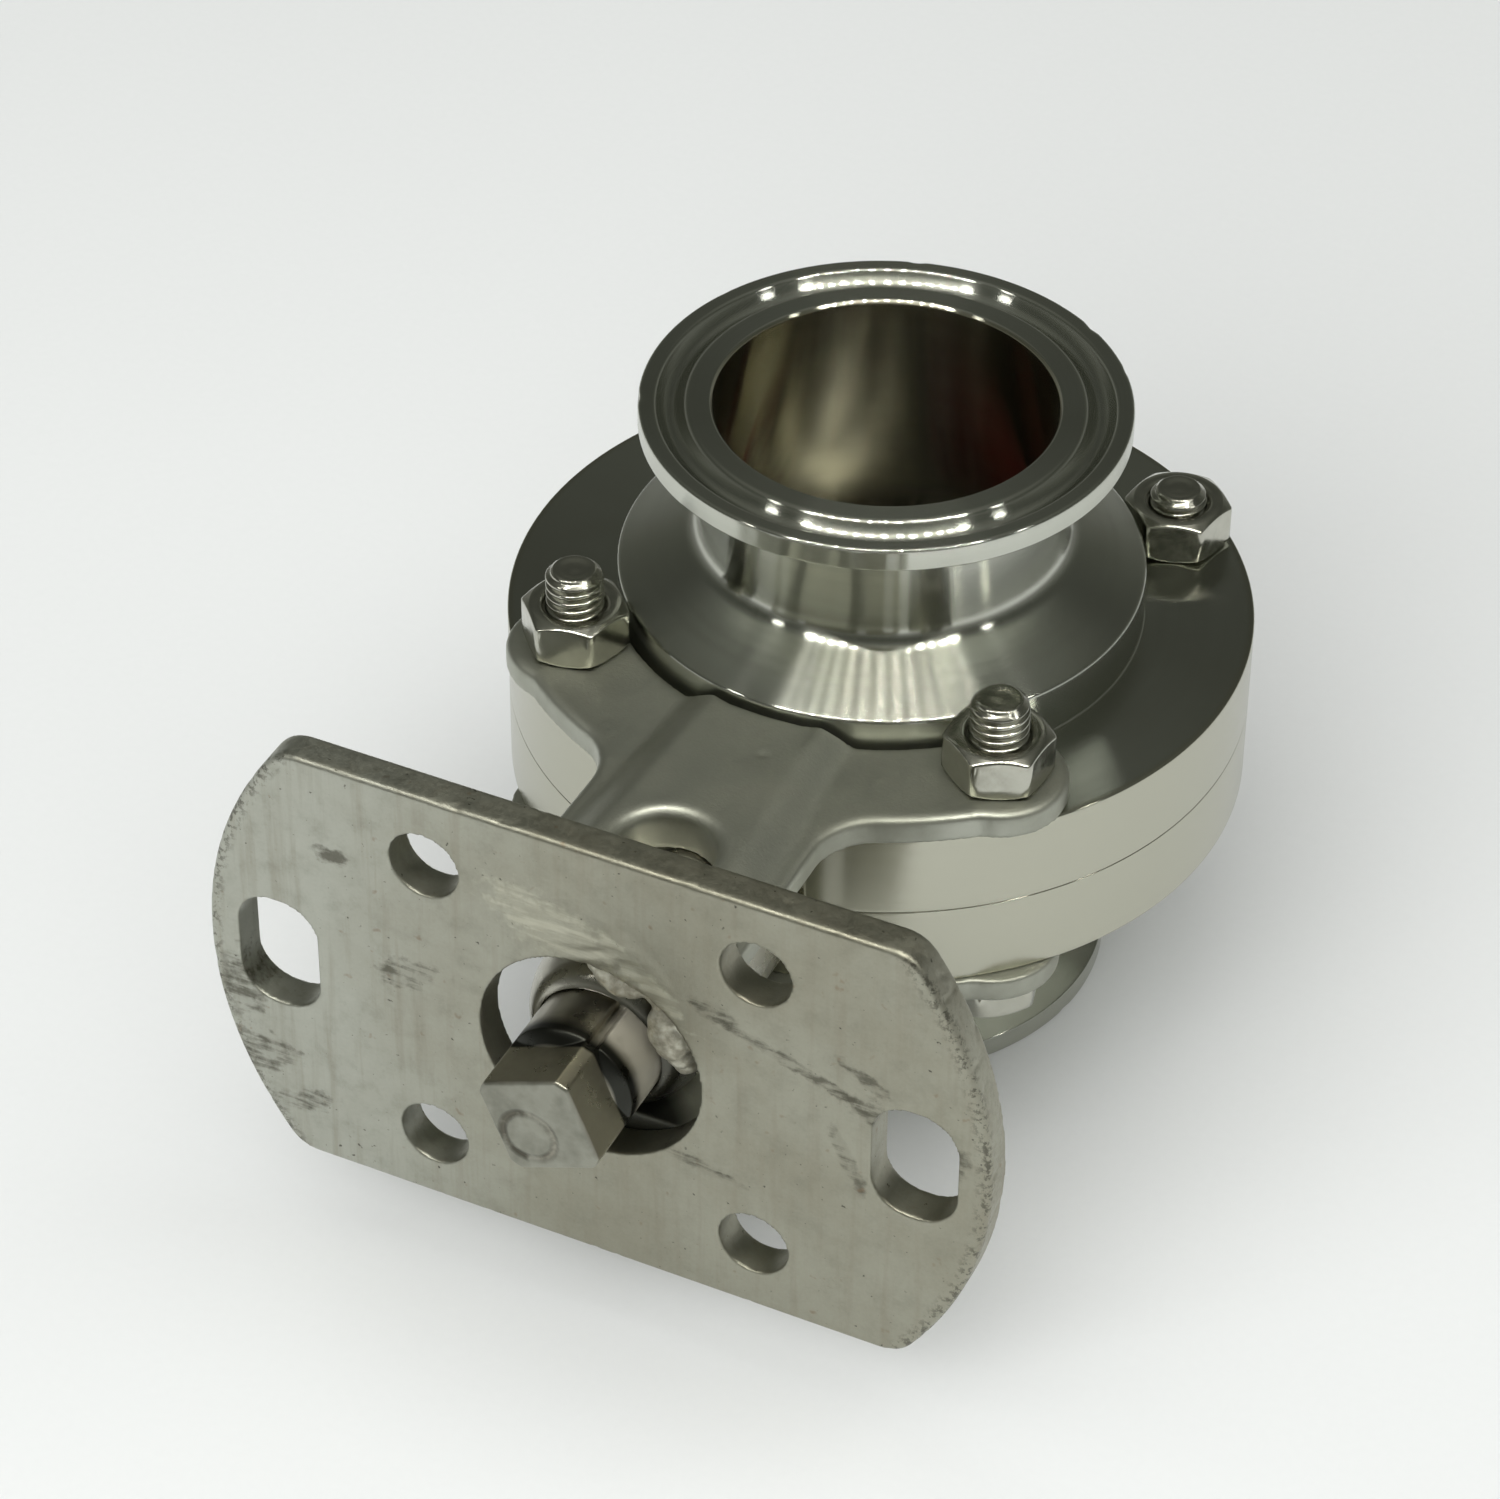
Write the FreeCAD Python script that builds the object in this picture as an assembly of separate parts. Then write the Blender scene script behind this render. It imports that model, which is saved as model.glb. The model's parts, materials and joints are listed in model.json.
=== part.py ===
import FreeCAD, Part
import math
import os

# Clamp-end butterfly valve with an actuator bracket. The bore runs along +Z and
# the lower ferrule face lies on z = 0, so the pipe joints are at z = 0 and at
# z = FACE_TO_FACE. The stem turns about Y, and its square end points to -Y.
# All sizes are in millimetres.

Vec = FreeCAD.Vector

# Body and pipe ends
FACE_TO_FACE = 70.0
MID_Z = FACE_TO_FACE / 2.0
BORE_R = 17.6
FERRULE_R = 25.25
FERRULE_EDGE = 2.5
FERRULE_TAPER_DEG = 20.0
GROOVE_R = 21.95
GROOVE_HALF_WIDTH = 1.55
GROOVE_DEPTH = 1.25
NECK_R = 19.05
NECK_FILLET = 2.2
HUB_R = 27.5
HUB_TOP = 15.1
CONE_TOP = 19.2
FLANGE_R = 39.0
FLANGE_HALF = 9.5
EDGE = 0.35
SEAM_EDGE = 0.15

# Fasteners
BOLT_CIRCLE_R = 33.4
BOLT_ANGLES = {"front_left": 225.0, "front_right": 315.0, "back_right": 45.0, "back_left": 135.0}
BRACKET_CORNERS = ("front_left", "front_right")
THREAD_R = 3.0
THREAD_ROOT_R = 2.5
THREAD_PITCH = 1.0
BOLT_HOLE_R = 3.3
BODY_BOLT_LENGTH = 25.4
BRACKET_BOLT_LENGTH = 34.2
HEX_ACROSS_FLATS = 10.0
NUT_HEIGHT = 5.0
HEAD_HEIGHT = 4.0
HEAD_TURN_DEG = 20.0
HEX_FACE_RATIO = 0.95
HEX_FACE_DEG = 30.0
NUT_BORE_R = 3.05
NUT_LEAD = 0.45
THREAD_ROOT_AT = 0.45
THREAD_CREST_AT = 0.9
HEX_TURNS = {"front_left": 13.0, "front_right": -35.0, "back_right": 17.0, "back_left": 40.0}

# Seat ring
SEAT_OUTER_R = 22.8
SEAT_HALF = 5.2
SEAT_INNER_R = 17.5
SEAT_LIP_R = 17.2
SEAT_LIP_HALF = 2.6
FIT_GAP = 0.04

# Disc and stem
DISC_R = 17.0
DISC_RIM_HALF = 1.6
DISC_BOSS_R = 6.8
DISC_BOSS_END = 15.4
DISC_CROWN = 4.1
DISC_SHOULDER_AT = 0.55
DISC_SHOULDER_RISE = 0.78
DISC_OPEN_DEG = 22.5
JOURNAL_R = 5.0
JOURNAL_GAP = 0.05
STEM_ROOT = 5.0
STEM_STEP = 40.0
SHAFT_R = 6.7
SHAFT_GAP = 0.06
SHAFT_END = 77.8
SQUARE_FLATS = 10.4
SQUARE_LENGTH = 5.6
SQUARE_RAMP = 1.2
STEM_END_CHAMFER = 0.35
PIVOT_END = 31.0
PIVOT_CHAMFER = 0.6
PIVOT_END_GAP = 0.3

# Stem sleeve, bushes and seals
SLEEVE_R = 9.5
SLEEVE_NOSE = 65.0
SLEEVE_NOSE_RADIUS = 2.7
SLEEVE_SHOULDER_GAP = 0.2
SLEEVE_SPIGOT_R = 7.6
SLEEVE_COLLAR_R = 9.2
SLEEVE_COLLAR = (24.0, 26.0)
BUSH_OUTER_R = 6.4
BUSH_INNER_END = 24.6
BUSH_OUTER_END = 39.6
PIVOT_POCKET_END = 33.0
ORING_SECTION_R = 0.6
ORING_Y = 23.7

# Bracket
PLATE_FRONT = 67.0
PLATE_THICKNESS = 4.0
PLATE_R = 42.4
PLATE_HALF_HEIGHT = 26.1
PLATE_CORNER_R = 4.0
PLATE_EDGE = 0.4
PLATE_BORE_R = 12.0
SMALL_PCD = 50.0
SMALL_HOLE_R = 3.75
SLOT_SPACING = 69.0
SLOT_WIDTH = 9.0
SLOT_LENGTH = 13.4
SLOT_CORNER_R = 4.0
LEG_THICKNESS = 3.0
BAND_THICKNESS = 5.0
LEG_INNER_R = 28.2
LEG_OUTER_R = 39.6
LOBE_R = 7.2
COLUMN_HALF_WIDTHS = (12.1, 12.8)
BAND_HALF_WIDTHS = (8.6, 11.2)
BAND_SIDE_SLOPE = 1.2
BAND_OVERLAP = 2.0
LEG_FILLET = 7.0
LOBE_FILLET = 3.0
LEG_EDGE = 0.5
LEG_HOLE_R = 5.1
LEG_HOLE_LIP = 0.8
LEG_HOLE_Y = 50.5
WELD_LEG = 2.2
WELD_BULGE = 0.62

PLATE_BACK = PLATE_FRONT - PLATE_THICKNESS
Y_AXIS = Vec(0, 1, 0)
Z_AXIS = Vec(0, 0, 1)
ORIGIN = Vec(0, 0, 0)


def save(name, shape):
    """Lift a shape from the mid-plane frame to the part's frame and write it."""
    placed = shape.copy()
    placed.translate(Vec(0, 0, MID_Z))
    solids = placed.Solids
    assert len(solids) == 1, name
    assert solids[0].isValid(), name
    solids[0].exportStep("parts/" + name + ".step")


def cylinder_y(radius, y_from, y_to):
    """A cylinder about the stem axis between two places along Y."""
    low = min(y_from, y_to)
    return Part.makeCylinder(radius, abs(y_to - y_from), Vec(0, low, 0), Y_AXIS)


def cylinder_z(radius, z_from, z_to, x=0.0, y=0.0):
    """An upright cylinder between two heights."""
    return Part.makeCylinder(radius, z_to - z_from, Vec(x, y, z_from), Z_AXIS)


def revolve(edges, axis):
    """A solid of revolution from a closed chain of edges."""
    face = Part.Face(Part.Wire(edges))
    return face.revolve(ORIGIN, axis, 360.0)


def line(a, b):
    return Part.LineSegment(a, b).toShape()


def arc(a, b, c):
    return Part.Arc(a, b, c).toShape()


def chain(points):
    """Straight edges through the points."""
    return [line(a, b) for a, b in zip(points, points[1:])]


def bolt_centre(corner):
    angle = math.radians(BOLT_ANGLES[corner])
    return BOLT_CIRCLE_R * math.cos(angle), BOLT_CIRCLE_R * math.sin(angle)


def cut_all(shape, tools):
    for tool in tools:
        shape = shape.cut(tool)
    return shape


def below(shape):
    """The mirror image of a shape under the mid-plane."""
    return shape.mirror(ORIGIN, Z_AXIS)


def body_half():
    """Upper casing half: flange, hub, cone, neck and clamp ferrule in one turned piece."""
    def at(r, z):
        return Vec(r, 0, z)

    face = MID_Z
    taper = (FERRULE_R - NECK_R) * math.tan(math.radians(FERRULE_TAPER_DEG))
    slope = math.atan2(CONE_TOP - HUB_TOP, HUB_R - NECK_R)
    reach = NECK_FILLET * math.tan((math.pi / 2.0 - slope) / 2.0)
    fillet_top = at(NECK_R, CONE_TOP + reach)
    fillet_end = at(NECK_R + reach * math.cos(slope), CONE_TOP - reach * math.sin(slope))
    fillet_centre = at(NECK_R + NECK_FILLET, CONE_TOP + reach)
    half_turn = (math.pi / 2.0 - slope) / 2.0
    fillet_mid = fillet_centre + at(-NECK_FILLET * math.cos(half_turn), -NECK_FILLET * math.sin(half_turn))
    edges = chain([
        at(SEAT_OUTER_R, 0), at(SEAT_OUTER_R, SEAT_HALF), at(BORE_R, SEAT_HALF),
        at(BORE_R, face - EDGE), at(BORE_R + EDGE, face), at(GROOVE_R - GROOVE_HALF_WIDTH, face),
    ])
    edges.append(arc(at(GROOVE_R - GROOVE_HALF_WIDTH, face), at(GROOVE_R, face - GROOVE_DEPTH),
                     at(GROOVE_R + GROOVE_HALF_WIDTH, face)))
    edges += chain([
        at(GROOVE_R + GROOVE_HALF_WIDTH, face), at(FERRULE_R - EDGE, face), at(FERRULE_R, face - EDGE),
        at(FERRULE_R, face - FERRULE_EDGE), at(NECK_R, face - FERRULE_EDGE - taper), fillet_top,
    ])
    edges.append(arc(fillet_top, fillet_mid, fillet_end))
    edges += chain([
        fillet_end, at(HUB_R - EDGE, HUB_TOP + EDGE * math.tan(slope)), at(HUB_R, HUB_TOP - EDGE),
        at(HUB_R, FLANGE_HALF), at(FLANGE_R - EDGE, FLANGE_HALF), at(FLANGE_R, FLANGE_HALF - EDGE),
        at(FLANGE_R, SEAM_EDGE), at(FLANGE_R - SEAM_EDGE, 0), at(SEAT_OUTER_R, 0),
    ])
    half = revolve(edges, Z_AXIS)
    tools = [cylinder_z(BOLT_HOLE_R, -1, FLANGE_HALF + 1, *bolt_centre(corner)) for corner in BOLT_ANGLES]
    tools.append(cylinder_y(SLEEVE_SPIGOT_R + FIT_GAP, -FLANGE_R - 1, -SLEEVE_COLLAR[1]))
    tools.append(cylinder_y(SLEEVE_COLLAR_R + FIT_GAP, -SLEEVE_COLLAR[1], -SLEEVE_COLLAR[0]))
    tools.append(cylinder_y(BUSH_OUTER_R + FIT_GAP, -SLEEVE_COLLAR[0], -BORE_R))
    tools.append(cylinder_y(BUSH_OUTER_R + FIT_GAP, BORE_R, PIVOT_POCKET_END))
    return cut_all(half, tools)


def seat_ring():
    """Soft ring clamped between the halves, with a low sealing lip and two stem holes."""
    def at(r, z):
        return Vec(r, 0, z)

    outer = SEAT_OUTER_R - FIT_GAP
    half_height = SEAT_HALF - FIT_GAP
    edges = chain([
        at(outer, -half_height), at(outer, half_height), at(SEAT_INNER_R, half_height),
        at(SEAT_INNER_R, SEAT_LIP_HALF),
    ])
    edges.append(arc(at(SEAT_INNER_R, SEAT_LIP_HALF), at(SEAT_LIP_R, 0), at(SEAT_INNER_R, -SEAT_LIP_HALF)))
    edges += chain([
        at(SEAT_INNER_R, -SEAT_LIP_HALF), at(SEAT_INNER_R, -half_height), at(outer, -half_height),
    ])
    ring = revolve(edges, Z_AXIS)
    return ring.cut(cylinder_y(JOURNAL_R + JOURNAL_GAP, -SEAT_OUTER_R - 1, SEAT_OUTER_R + 1))


def turned(shape):
    """Turn a closed-position shape to the partly open rest position."""
    shape = shape.copy()
    shape.rotate(ORIGIN, Y_AXIS, -DISC_OPEN_DEG)
    return shape


def valve_disc():
    """Lens-shaped disc with a boss along the stem and a socket for each stem."""
    def at(r, z):
        return Vec(r, 0, z)

    rim = DISC_R - DISC_RIM_HALF
    shoulder_r = rim * DISC_SHOULDER_AT
    shoulder_z = DISC_CROWN * DISC_SHOULDER_RISE
    edges = [line(at(0, -DISC_CROWN), at(0, DISC_CROWN))]
    edges.append(arc(at(0, DISC_CROWN), at(shoulder_r, shoulder_z), at(rim, DISC_RIM_HALF)))
    edges.append(arc(at(rim, DISC_RIM_HALF), at(DISC_R, 0), at(rim, -DISC_RIM_HALF)))
    edges.append(arc(at(rim, -DISC_RIM_HALF), at(shoulder_r, -shoulder_z), at(0, -DISC_CROWN)))
    disc = revolve(edges, Z_AXIS)
    disc = disc.fuse(cylinder_y(DISC_BOSS_R, -DISC_BOSS_END, DISC_BOSS_END))
    disc = disc.cut(cylinder_y(JOURNAL_R + FIT_GAP, -DISC_R - 1, -STEM_ROOT))
    disc = disc.cut(cylinder_y(JOURNAL_R + FIT_GAP, STEM_ROOT, DISC_R + 1))
    return turned(disc.removeSplitter())


def drive_stem():
    """Stepped stem from the disc out through the sleeve, with a milled square end."""
    def at(r, y):
        return Vec(r, -y, 0)

    flat = SQUARE_FLATS / 2.0
    ramp_start = SHAFT_END - SQUARE_LENGTH
    shaft = revolve(chain([
        at(0, STEM_ROOT), at(JOURNAL_R, STEM_ROOT), at(JOURNAL_R, STEM_STEP), at(SHAFT_R, STEM_STEP),
        at(SHAFT_R, SHAFT_END - STEM_END_CHAMFER), at(SHAFT_R - STEM_END_CHAMFER, SHAFT_END),
        at(0, SHAFT_END), at(0, STEM_ROOT),
    ]), Y_AXIS)
    core = revolve(chain([
        at(0, 0), at(SHAFT_R + 1, 0), at(SHAFT_R + 1, ramp_start - SQUARE_RAMP),
        at(SHAFT_R, ramp_start - SQUARE_RAMP), at(flat, ramp_start), at(0, ramp_start), at(0, 0),
    ]), Y_AXIS)
    square = Part.makeBox(SQUARE_FLATS, SHAFT_END, SQUARE_FLATS, Vec(-flat, -SHAFT_END, -flat))
    return turned(shaft.common(core.fuse(square)).removeSplitter())


def pivot_stem():
    """Plain journal on the far side of the disc."""
    pin = cylinder_y(JOURNAL_R, STEM_ROOT, PIVOT_END)
    ends = [edge for edge in pin.Edges if edge.Closed and edge.CenterOfMass.y > PIVOT_END - 1]
    return pin.makeChamfer(PIVOT_CHAMFER, ends)


def stem_sleeve():
    """Round neck that carries the stem, clamped between the halves by its collar."""
    def at(r, y):
        return Vec(r, -y, 0)

    shoulder = FLANGE_R + SLEEVE_SHOULDER_GAP
    nose = SLEEVE_NOSE - SLEEVE_NOSE_RADIUS
    quarter = SLEEVE_NOSE_RADIUS * math.sqrt(0.5)
    edges = chain([
        at(BUSH_OUTER_R, SLEEVE_COLLAR[0]), at(SLEEVE_COLLAR_R, SLEEVE_COLLAR[0]),
        at(SLEEVE_COLLAR_R, SLEEVE_COLLAR[1]), at(SLEEVE_SPIGOT_R, SLEEVE_COLLAR[1]),
        at(SLEEVE_SPIGOT_R, shoulder), at(SLEEVE_R, shoulder), at(SLEEVE_R, nose),
    ])
    edges.append(arc(at(SLEEVE_R, nose), at(SLEEVE_R - SLEEVE_NOSE_RADIUS + quarter, nose + quarter),
                     at(SLEEVE_R - SLEEVE_NOSE_RADIUS, SLEEVE_NOSE)))
    edges += chain([
        at(SLEEVE_R - SLEEVE_NOSE_RADIUS, SLEEVE_NOSE), at(SHAFT_R + SHAFT_GAP, SLEEVE_NOSE),
        at(SHAFT_R + SHAFT_GAP, BUSH_OUTER_END), at(BUSH_OUTER_R, BUSH_OUTER_END),
        at(BUSH_OUTER_R, SLEEVE_COLLAR[0]),
    ])
    return revolve(edges, Y_AXIS)


def drive_bush():
    """Plain bearing pressed in the sleeve."""
    outer = cylinder_y(BUSH_OUTER_R, -BUSH_OUTER_END, -BUSH_INNER_END)
    return outer.cut(cylinder_y(JOURNAL_R + JOURNAL_GAP, -BUSH_OUTER_END - 1, -BUSH_INNER_END + 1))


def pivot_bush():
    """Closed cup bearing for the pivot stem."""
    outer = cylinder_y(BUSH_OUTER_R, BUSH_INNER_END, PIVOT_POCKET_END)
    return outer.cut(cylinder_y(JOURNAL_R + JOURNAL_GAP, BUSH_INNER_END - 1, PIVOT_END + PIVOT_END_GAP))


def o_ring(side):
    """Stem seal next to the seat ring."""
    radius = JOURNAL_R + JOURNAL_GAP + ORING_SECTION_R
    return Part.makeTorus(radius, ORING_SECTION_R, Vec(0, side * ORING_Y, 0), Y_AXIS)


def trapezoid(half_widths, y_near, y_far, z_low, z_high):
    """Upright wedge of a plate whose half width changes from near to far."""
    near, far = half_widths
    wire = Part.makePolygon([
        Vec(-near, -y_near, z_low), Vec(near, -y_near, z_low),
        Vec(far, -y_far, z_low), Vec(-far, -y_far, z_low), Vec(-near, -y_near, z_low),
    ])
    return Part.Face(wire).extrude(Vec(0, 0, z_high - z_low))


def is_upright(edge):
    return edge.BoundBox.ZLength > 0.5 and edge.BoundBox.XLength < 1e-6 and edge.BoundBox.YLength < 1e-6


def bracket_leg():
    """Upper bracket leg: two bolt lobes and a column with a raised middle band."""
    low = FLANGE_HALF
    wing_top = low + LEG_THICKNESS
    band_top = low + BAND_THICKNESS
    ring = cylinder_z(LEG_OUTER_R, low, wing_top)
    corner_x, corner_y = bolt_centre("front_right")
    reach = LEG_OUTER_R * 2.0
    wire = Part.makePolygon([
        Vec(0, 0, low), Vec(-reach, reach * corner_y / corner_x, low),
        Vec(reach, reach * corner_y / corner_x, low), Vec(0, 0, low),
    ])
    wings = ring.common(Part.Face(wire).extrude(Vec(0, 0, LEG_THICKNESS)))
    wings = wings.fuse(trapezoid(COLUMN_HALF_WIDTHS, LEG_INNER_R, PLATE_BACK, low, wing_top))
    for corner in BRACKET_CORNERS:
        wings = wings.fuse(cylinder_z(LOBE_R, low, wing_top, *bolt_centre(corner)))
    hub_clearance = cylinder_z(LEG_INNER_R, low - 1, band_top + 1)
    wings = wings.cut(hub_clearance).removeSplitter()
    column_roots = []
    lobe_roots = []
    for edge in wings.Edges:
        place = edge.CenterOfMass
        if not is_upright(edge) or abs(math.hypot(place.x, place.y) - LEG_OUTER_R) > 1e-3:
            continue
        if abs(place.x) < COLUMN_HALF_WIDTHS[1]:
            column_roots.append(edge)
        else:
            lobe_roots.append(edge)
    wings = wings.makeFillet(LEG_FILLET, column_roots)
    lobe_places = [edge.CenterOfMass for edge in lobe_roots]
    lobe_roots = [edge for edge in wings.Edges if is_upright(edge)
                  and min(edge.CenterOfMass.distanceToPoint(place) for place in lobe_places) < 1e-3]
    wings = wings.makeFillet(LOBE_FILLET, lobe_roots)
    rim = []
    for edge in wings.Edges:
        middle = edge.valueAt((edge.FirstParameter + edge.LastParameter) / 2.0)
        outside = math.hypot(middle.x, middle.y) > LEG_INNER_R + 0.5
        if abs(edge.BoundBox.ZMin - wing_top) < 1e-6 and edge.BoundBox.YMin > -PLATE_BACK - 1e-3 and outside:
            rim.append(edge)
    rim = [edge for edge in rim if edge.BoundBox.YMax > -PLATE_BACK + 1e-3]
    wings = wings.makeChamfer(LEG_EDGE, rim)
    band = trapezoid(BAND_HALF_WIDTHS, LEG_INNER_R - BAND_OVERLAP, PLATE_BACK, low, band_top)
    sides = [edge for edge in band.Edges if abs(edge.BoundBox.ZMin - band_top) < 1e-6
             and edge.BoundBox.YLength > 1]
    band = band.makeChamfer(BAND_SIDE_SLOPE, sides).cut(hub_clearance)
    leg = wings.fuse(band).removeSplitter()
    tools = []
    for corner in BRACKET_CORNERS:
        tools.append(cylinder_z(BOLT_HOLE_R, low - 1, band_top + 1, *bolt_centre(corner)))
    tools.append(cylinder_z(LEG_HOLE_R, low - 1, band_top + 1, 0, -LEG_HOLE_Y))
    tools.append(Part.makeCone(LEG_HOLE_R, LEG_HOLE_R + LEG_HOLE_LIP, LEG_HOLE_LIP,
                               Vec(0, -LEG_HOLE_Y, band_top - LEG_HOLE_LIP), Z_AXIS))
    return cut_all(leg, tools)


def plate_slot(x):
    """Upright slot with rounded corners."""
    box = Part.makeBox(SLOT_WIDTH, PLATE_THICKNESS * 3, SLOT_LENGTH,
                       Vec(x - SLOT_WIDTH / 2.0, -PLATE_FRONT - PLATE_THICKNESS, -SLOT_LENGTH / 2.0))
    corners = [edge for edge in box.Edges if edge.BoundBox.YLength > 1]
    return box.makeFillet(SLOT_CORNER_R, corners)


def actuator_plate():
    """Front plate: a round disc cut to a band, with an actuator hole pattern."""
    disc = cylinder_y(PLATE_R, -PLATE_FRONT, -PLATE_BACK)
    band = Part.makeBox(PLATE_R * 3, PLATE_THICKNESS * 3, PLATE_HALF_HEIGHT * 2,
                        Vec(-PLATE_R * 1.5, -PLATE_FRONT - PLATE_THICKNESS, -PLATE_HALF_HEIGHT))
    plate = disc.common(band)
    corners = [edge for edge in plate.Edges
               if edge.BoundBox.YLength > 1 and edge.BoundBox.XLength < 1e-6 and edge.BoundBox.ZLength < 1e-6]
    plate = plate.makeFillet(PLATE_CORNER_R, corners)
    rims = [edge for edge in plate.Edges if edge.BoundBox.YLength < 1e-6]
    plate = plate.makeChamfer(PLATE_EDGE, rims)
    tools = [cylinder_y(PLATE_BORE_R, -PLATE_FRONT - 1, -PLATE_BACK + 1)]
    for corner in BOLT_ANGLES.values():
        hole = cylinder_y(SMALL_HOLE_R, -PLATE_FRONT - 1, -PLATE_BACK + 1)
        angle = math.radians(corner)
        hole.translate(Vec(SMALL_PCD / 2 * math.cos(angle), 0, SMALL_PCD / 2 * math.sin(angle)))
        tools.append(hole)
    tools.append(plate_slot(-SLOT_SPACING / 2.0))
    tools.append(plate_slot(SLOT_SPACING / 2.0))
    return cut_all(plate, tools)


def weld_bead():
    """Fillet weld along the top of the upper leg's band, against the plate's back."""
    width = BAND_HALF_WIDTHS[1] - BAND_SIDE_SLOPE
    top = FLANGE_HALF + BAND_THICKNESS
    bulge = WELD_LEG * WELD_BULGE
    start = Vec(-width, -PLATE_BACK, top)
    wire = Part.Wire([
        line(start, start + Vec(0, WELD_LEG, 0)),
        arc(start + Vec(0, WELD_LEG, 0), start + Vec(0, bulge, bulge), start + Vec(0, 0, WELD_LEG)),
        line(start + Vec(0, 0, WELD_LEG), start),
    ])
    return Part.Face(wire).extrude(Vec(2 * width, 0, 0))


def hexagon(turn_deg, z_low, height):
    """Hexagonal prism with rounded-off corners at both ends."""
    corner_r = HEX_ACROSS_FLATS / math.sqrt(3.0)
    points = []
    for index in range(7):
        angle = math.radians(turn_deg + 60.0 * index)
        points.append(Vec(corner_r * math.cos(angle), corner_r * math.sin(angle), z_low))
    prism = Part.Face(Part.makePolygon(points)).extrude(Vec(0, 0, height))
    flat_r = HEX_ACROSS_FLATS / 2.0 * HEX_FACE_RATIO
    rise = (corner_r - flat_r) * math.tan(math.radians(HEX_FACE_DEG))
    envelope = revolve(chain([
        Vec(0, 0, z_low), Vec(flat_r, 0, z_low), Vec(corner_r, 0, z_low + rise),
        Vec(corner_r, 0, z_low + height - rise), Vec(flat_r, 0, z_low + height),
        Vec(0, 0, z_low + height), Vec(0, 0, z_low),
    ]), Z_AXIS)
    return prism.common(envelope)


def bolt(corner):
    """Hex bolt from below, with thread rings on its upper end."""
    bracketed = corner in BRACKET_CORNERS
    seat = -FLANGE_HALF - (LEG_THICKNESS if bracketed else 0.0)
    length = BRACKET_BOLT_LENGTH if bracketed else BODY_BOLT_LENGTH
    tip = seat + length
    rings = int((length - 2 * FLANGE_HALF - 1) / THREAD_PITCH)
    points = [Vec(0, 0, seat), Vec(THREAD_R, 0, seat)]
    bottom = tip - THREAD_PITCH * (rings + 0.5)
    for index in range(rings):
        z = bottom + index * THREAD_PITCH
        points.append(Vec(THREAD_R, 0, z))
        points.append(Vec(THREAD_ROOT_R, 0, z + THREAD_PITCH * THREAD_ROOT_AT))
        points.append(Vec(THREAD_R, 0, z + THREAD_PITCH * THREAD_CREST_AT))
    points += [Vec(THREAD_ROOT_R, 0, tip), Vec(0, 0, tip), Vec(0, 0, seat)]
    shank = revolve(chain(points), Z_AXIS)
    head = hexagon(HEX_TURNS[corner] + HEAD_TURN_DEG, seat - HEAD_HEIGHT, HEAD_HEIGHT)
    body = shank.fuse(head).removeSplitter()
    x, y = bolt_centre(corner)
    body.translate(Vec(x, y, 0))
    return body


def nut(corner):
    """Hex nut with a countersunk bore."""
    seat = FLANGE_HALF + (LEG_THICKNESS if corner in BRACKET_CORNERS else 0.0)
    body = hexagon(HEX_TURNS[corner], seat, NUT_HEIGHT)
    body = body.cut(cylinder_z(NUT_BORE_R, seat - 1, seat + NUT_HEIGHT + 1))
    mouth = Vec(0, 0, seat + NUT_HEIGHT - NUT_LEAD)
    body = body.cut(Part.makeCone(NUT_BORE_R, NUT_BORE_R + NUT_LEAD, NUT_LEAD, mouth, Z_AXIS))
    x, y = bolt_centre(corner)
    body.translate(Vec(x, y, 0))
    return body


os.makedirs("parts", exist_ok=True)
half = body_half()
leg = bracket_leg()
bead = weld_bead()
save("upper_body_half", half)
save("lower_body_half", below(half))
save("seat_ring", seat_ring())
save("valve_disc", valve_disc())
save("drive_stem", drive_stem())
save("pivot_stem", pivot_stem())
save("stem_sleeve", stem_sleeve())
save("drive_bush", drive_bush())
save("pivot_bush", pivot_bush())
save("drive_stem_o_ring", o_ring(-1))
save("pivot_stem_o_ring", o_ring(1))
save("bracket_upper_leg", leg)
save("bracket_lower_leg", below(leg))
save("actuator_plate", actuator_plate())
save("upper_weld_bead", bead)
save("lower_weld_bead", below(bead))
for place in BOLT_ANGLES:
    save(place + "_bolt", bolt(place))
    save(place + "_nut", nut(place))
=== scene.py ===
import json
import math

import bmesh
import bpy
import numpy as np
from mathutils import Matrix, Vector, noise


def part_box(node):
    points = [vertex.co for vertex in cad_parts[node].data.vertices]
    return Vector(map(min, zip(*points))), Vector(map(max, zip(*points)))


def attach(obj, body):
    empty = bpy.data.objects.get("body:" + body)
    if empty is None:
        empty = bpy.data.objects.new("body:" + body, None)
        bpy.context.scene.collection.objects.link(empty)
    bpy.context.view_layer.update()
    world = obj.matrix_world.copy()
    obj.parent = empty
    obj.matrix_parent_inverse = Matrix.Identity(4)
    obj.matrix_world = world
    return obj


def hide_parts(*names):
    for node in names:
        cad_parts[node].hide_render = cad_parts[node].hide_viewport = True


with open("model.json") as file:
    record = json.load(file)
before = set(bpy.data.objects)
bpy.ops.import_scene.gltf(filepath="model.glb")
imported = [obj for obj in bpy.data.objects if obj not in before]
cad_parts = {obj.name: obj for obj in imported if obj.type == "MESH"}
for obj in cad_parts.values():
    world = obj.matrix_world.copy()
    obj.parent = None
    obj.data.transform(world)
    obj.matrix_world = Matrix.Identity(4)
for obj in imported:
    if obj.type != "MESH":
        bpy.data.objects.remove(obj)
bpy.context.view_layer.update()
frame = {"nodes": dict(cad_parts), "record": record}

# Stainless butterfly valve: turned body halves and ferrules, a bead-blasted bracket with a
# worn front plate, a milled square stem, hex fasteners and weld metal.

MM = 0.001
BODY = "valve_body"
MOVING = "disc_assembly"
CORNERS = ("front_left", "front_right", "back_right", "back_left")

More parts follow.
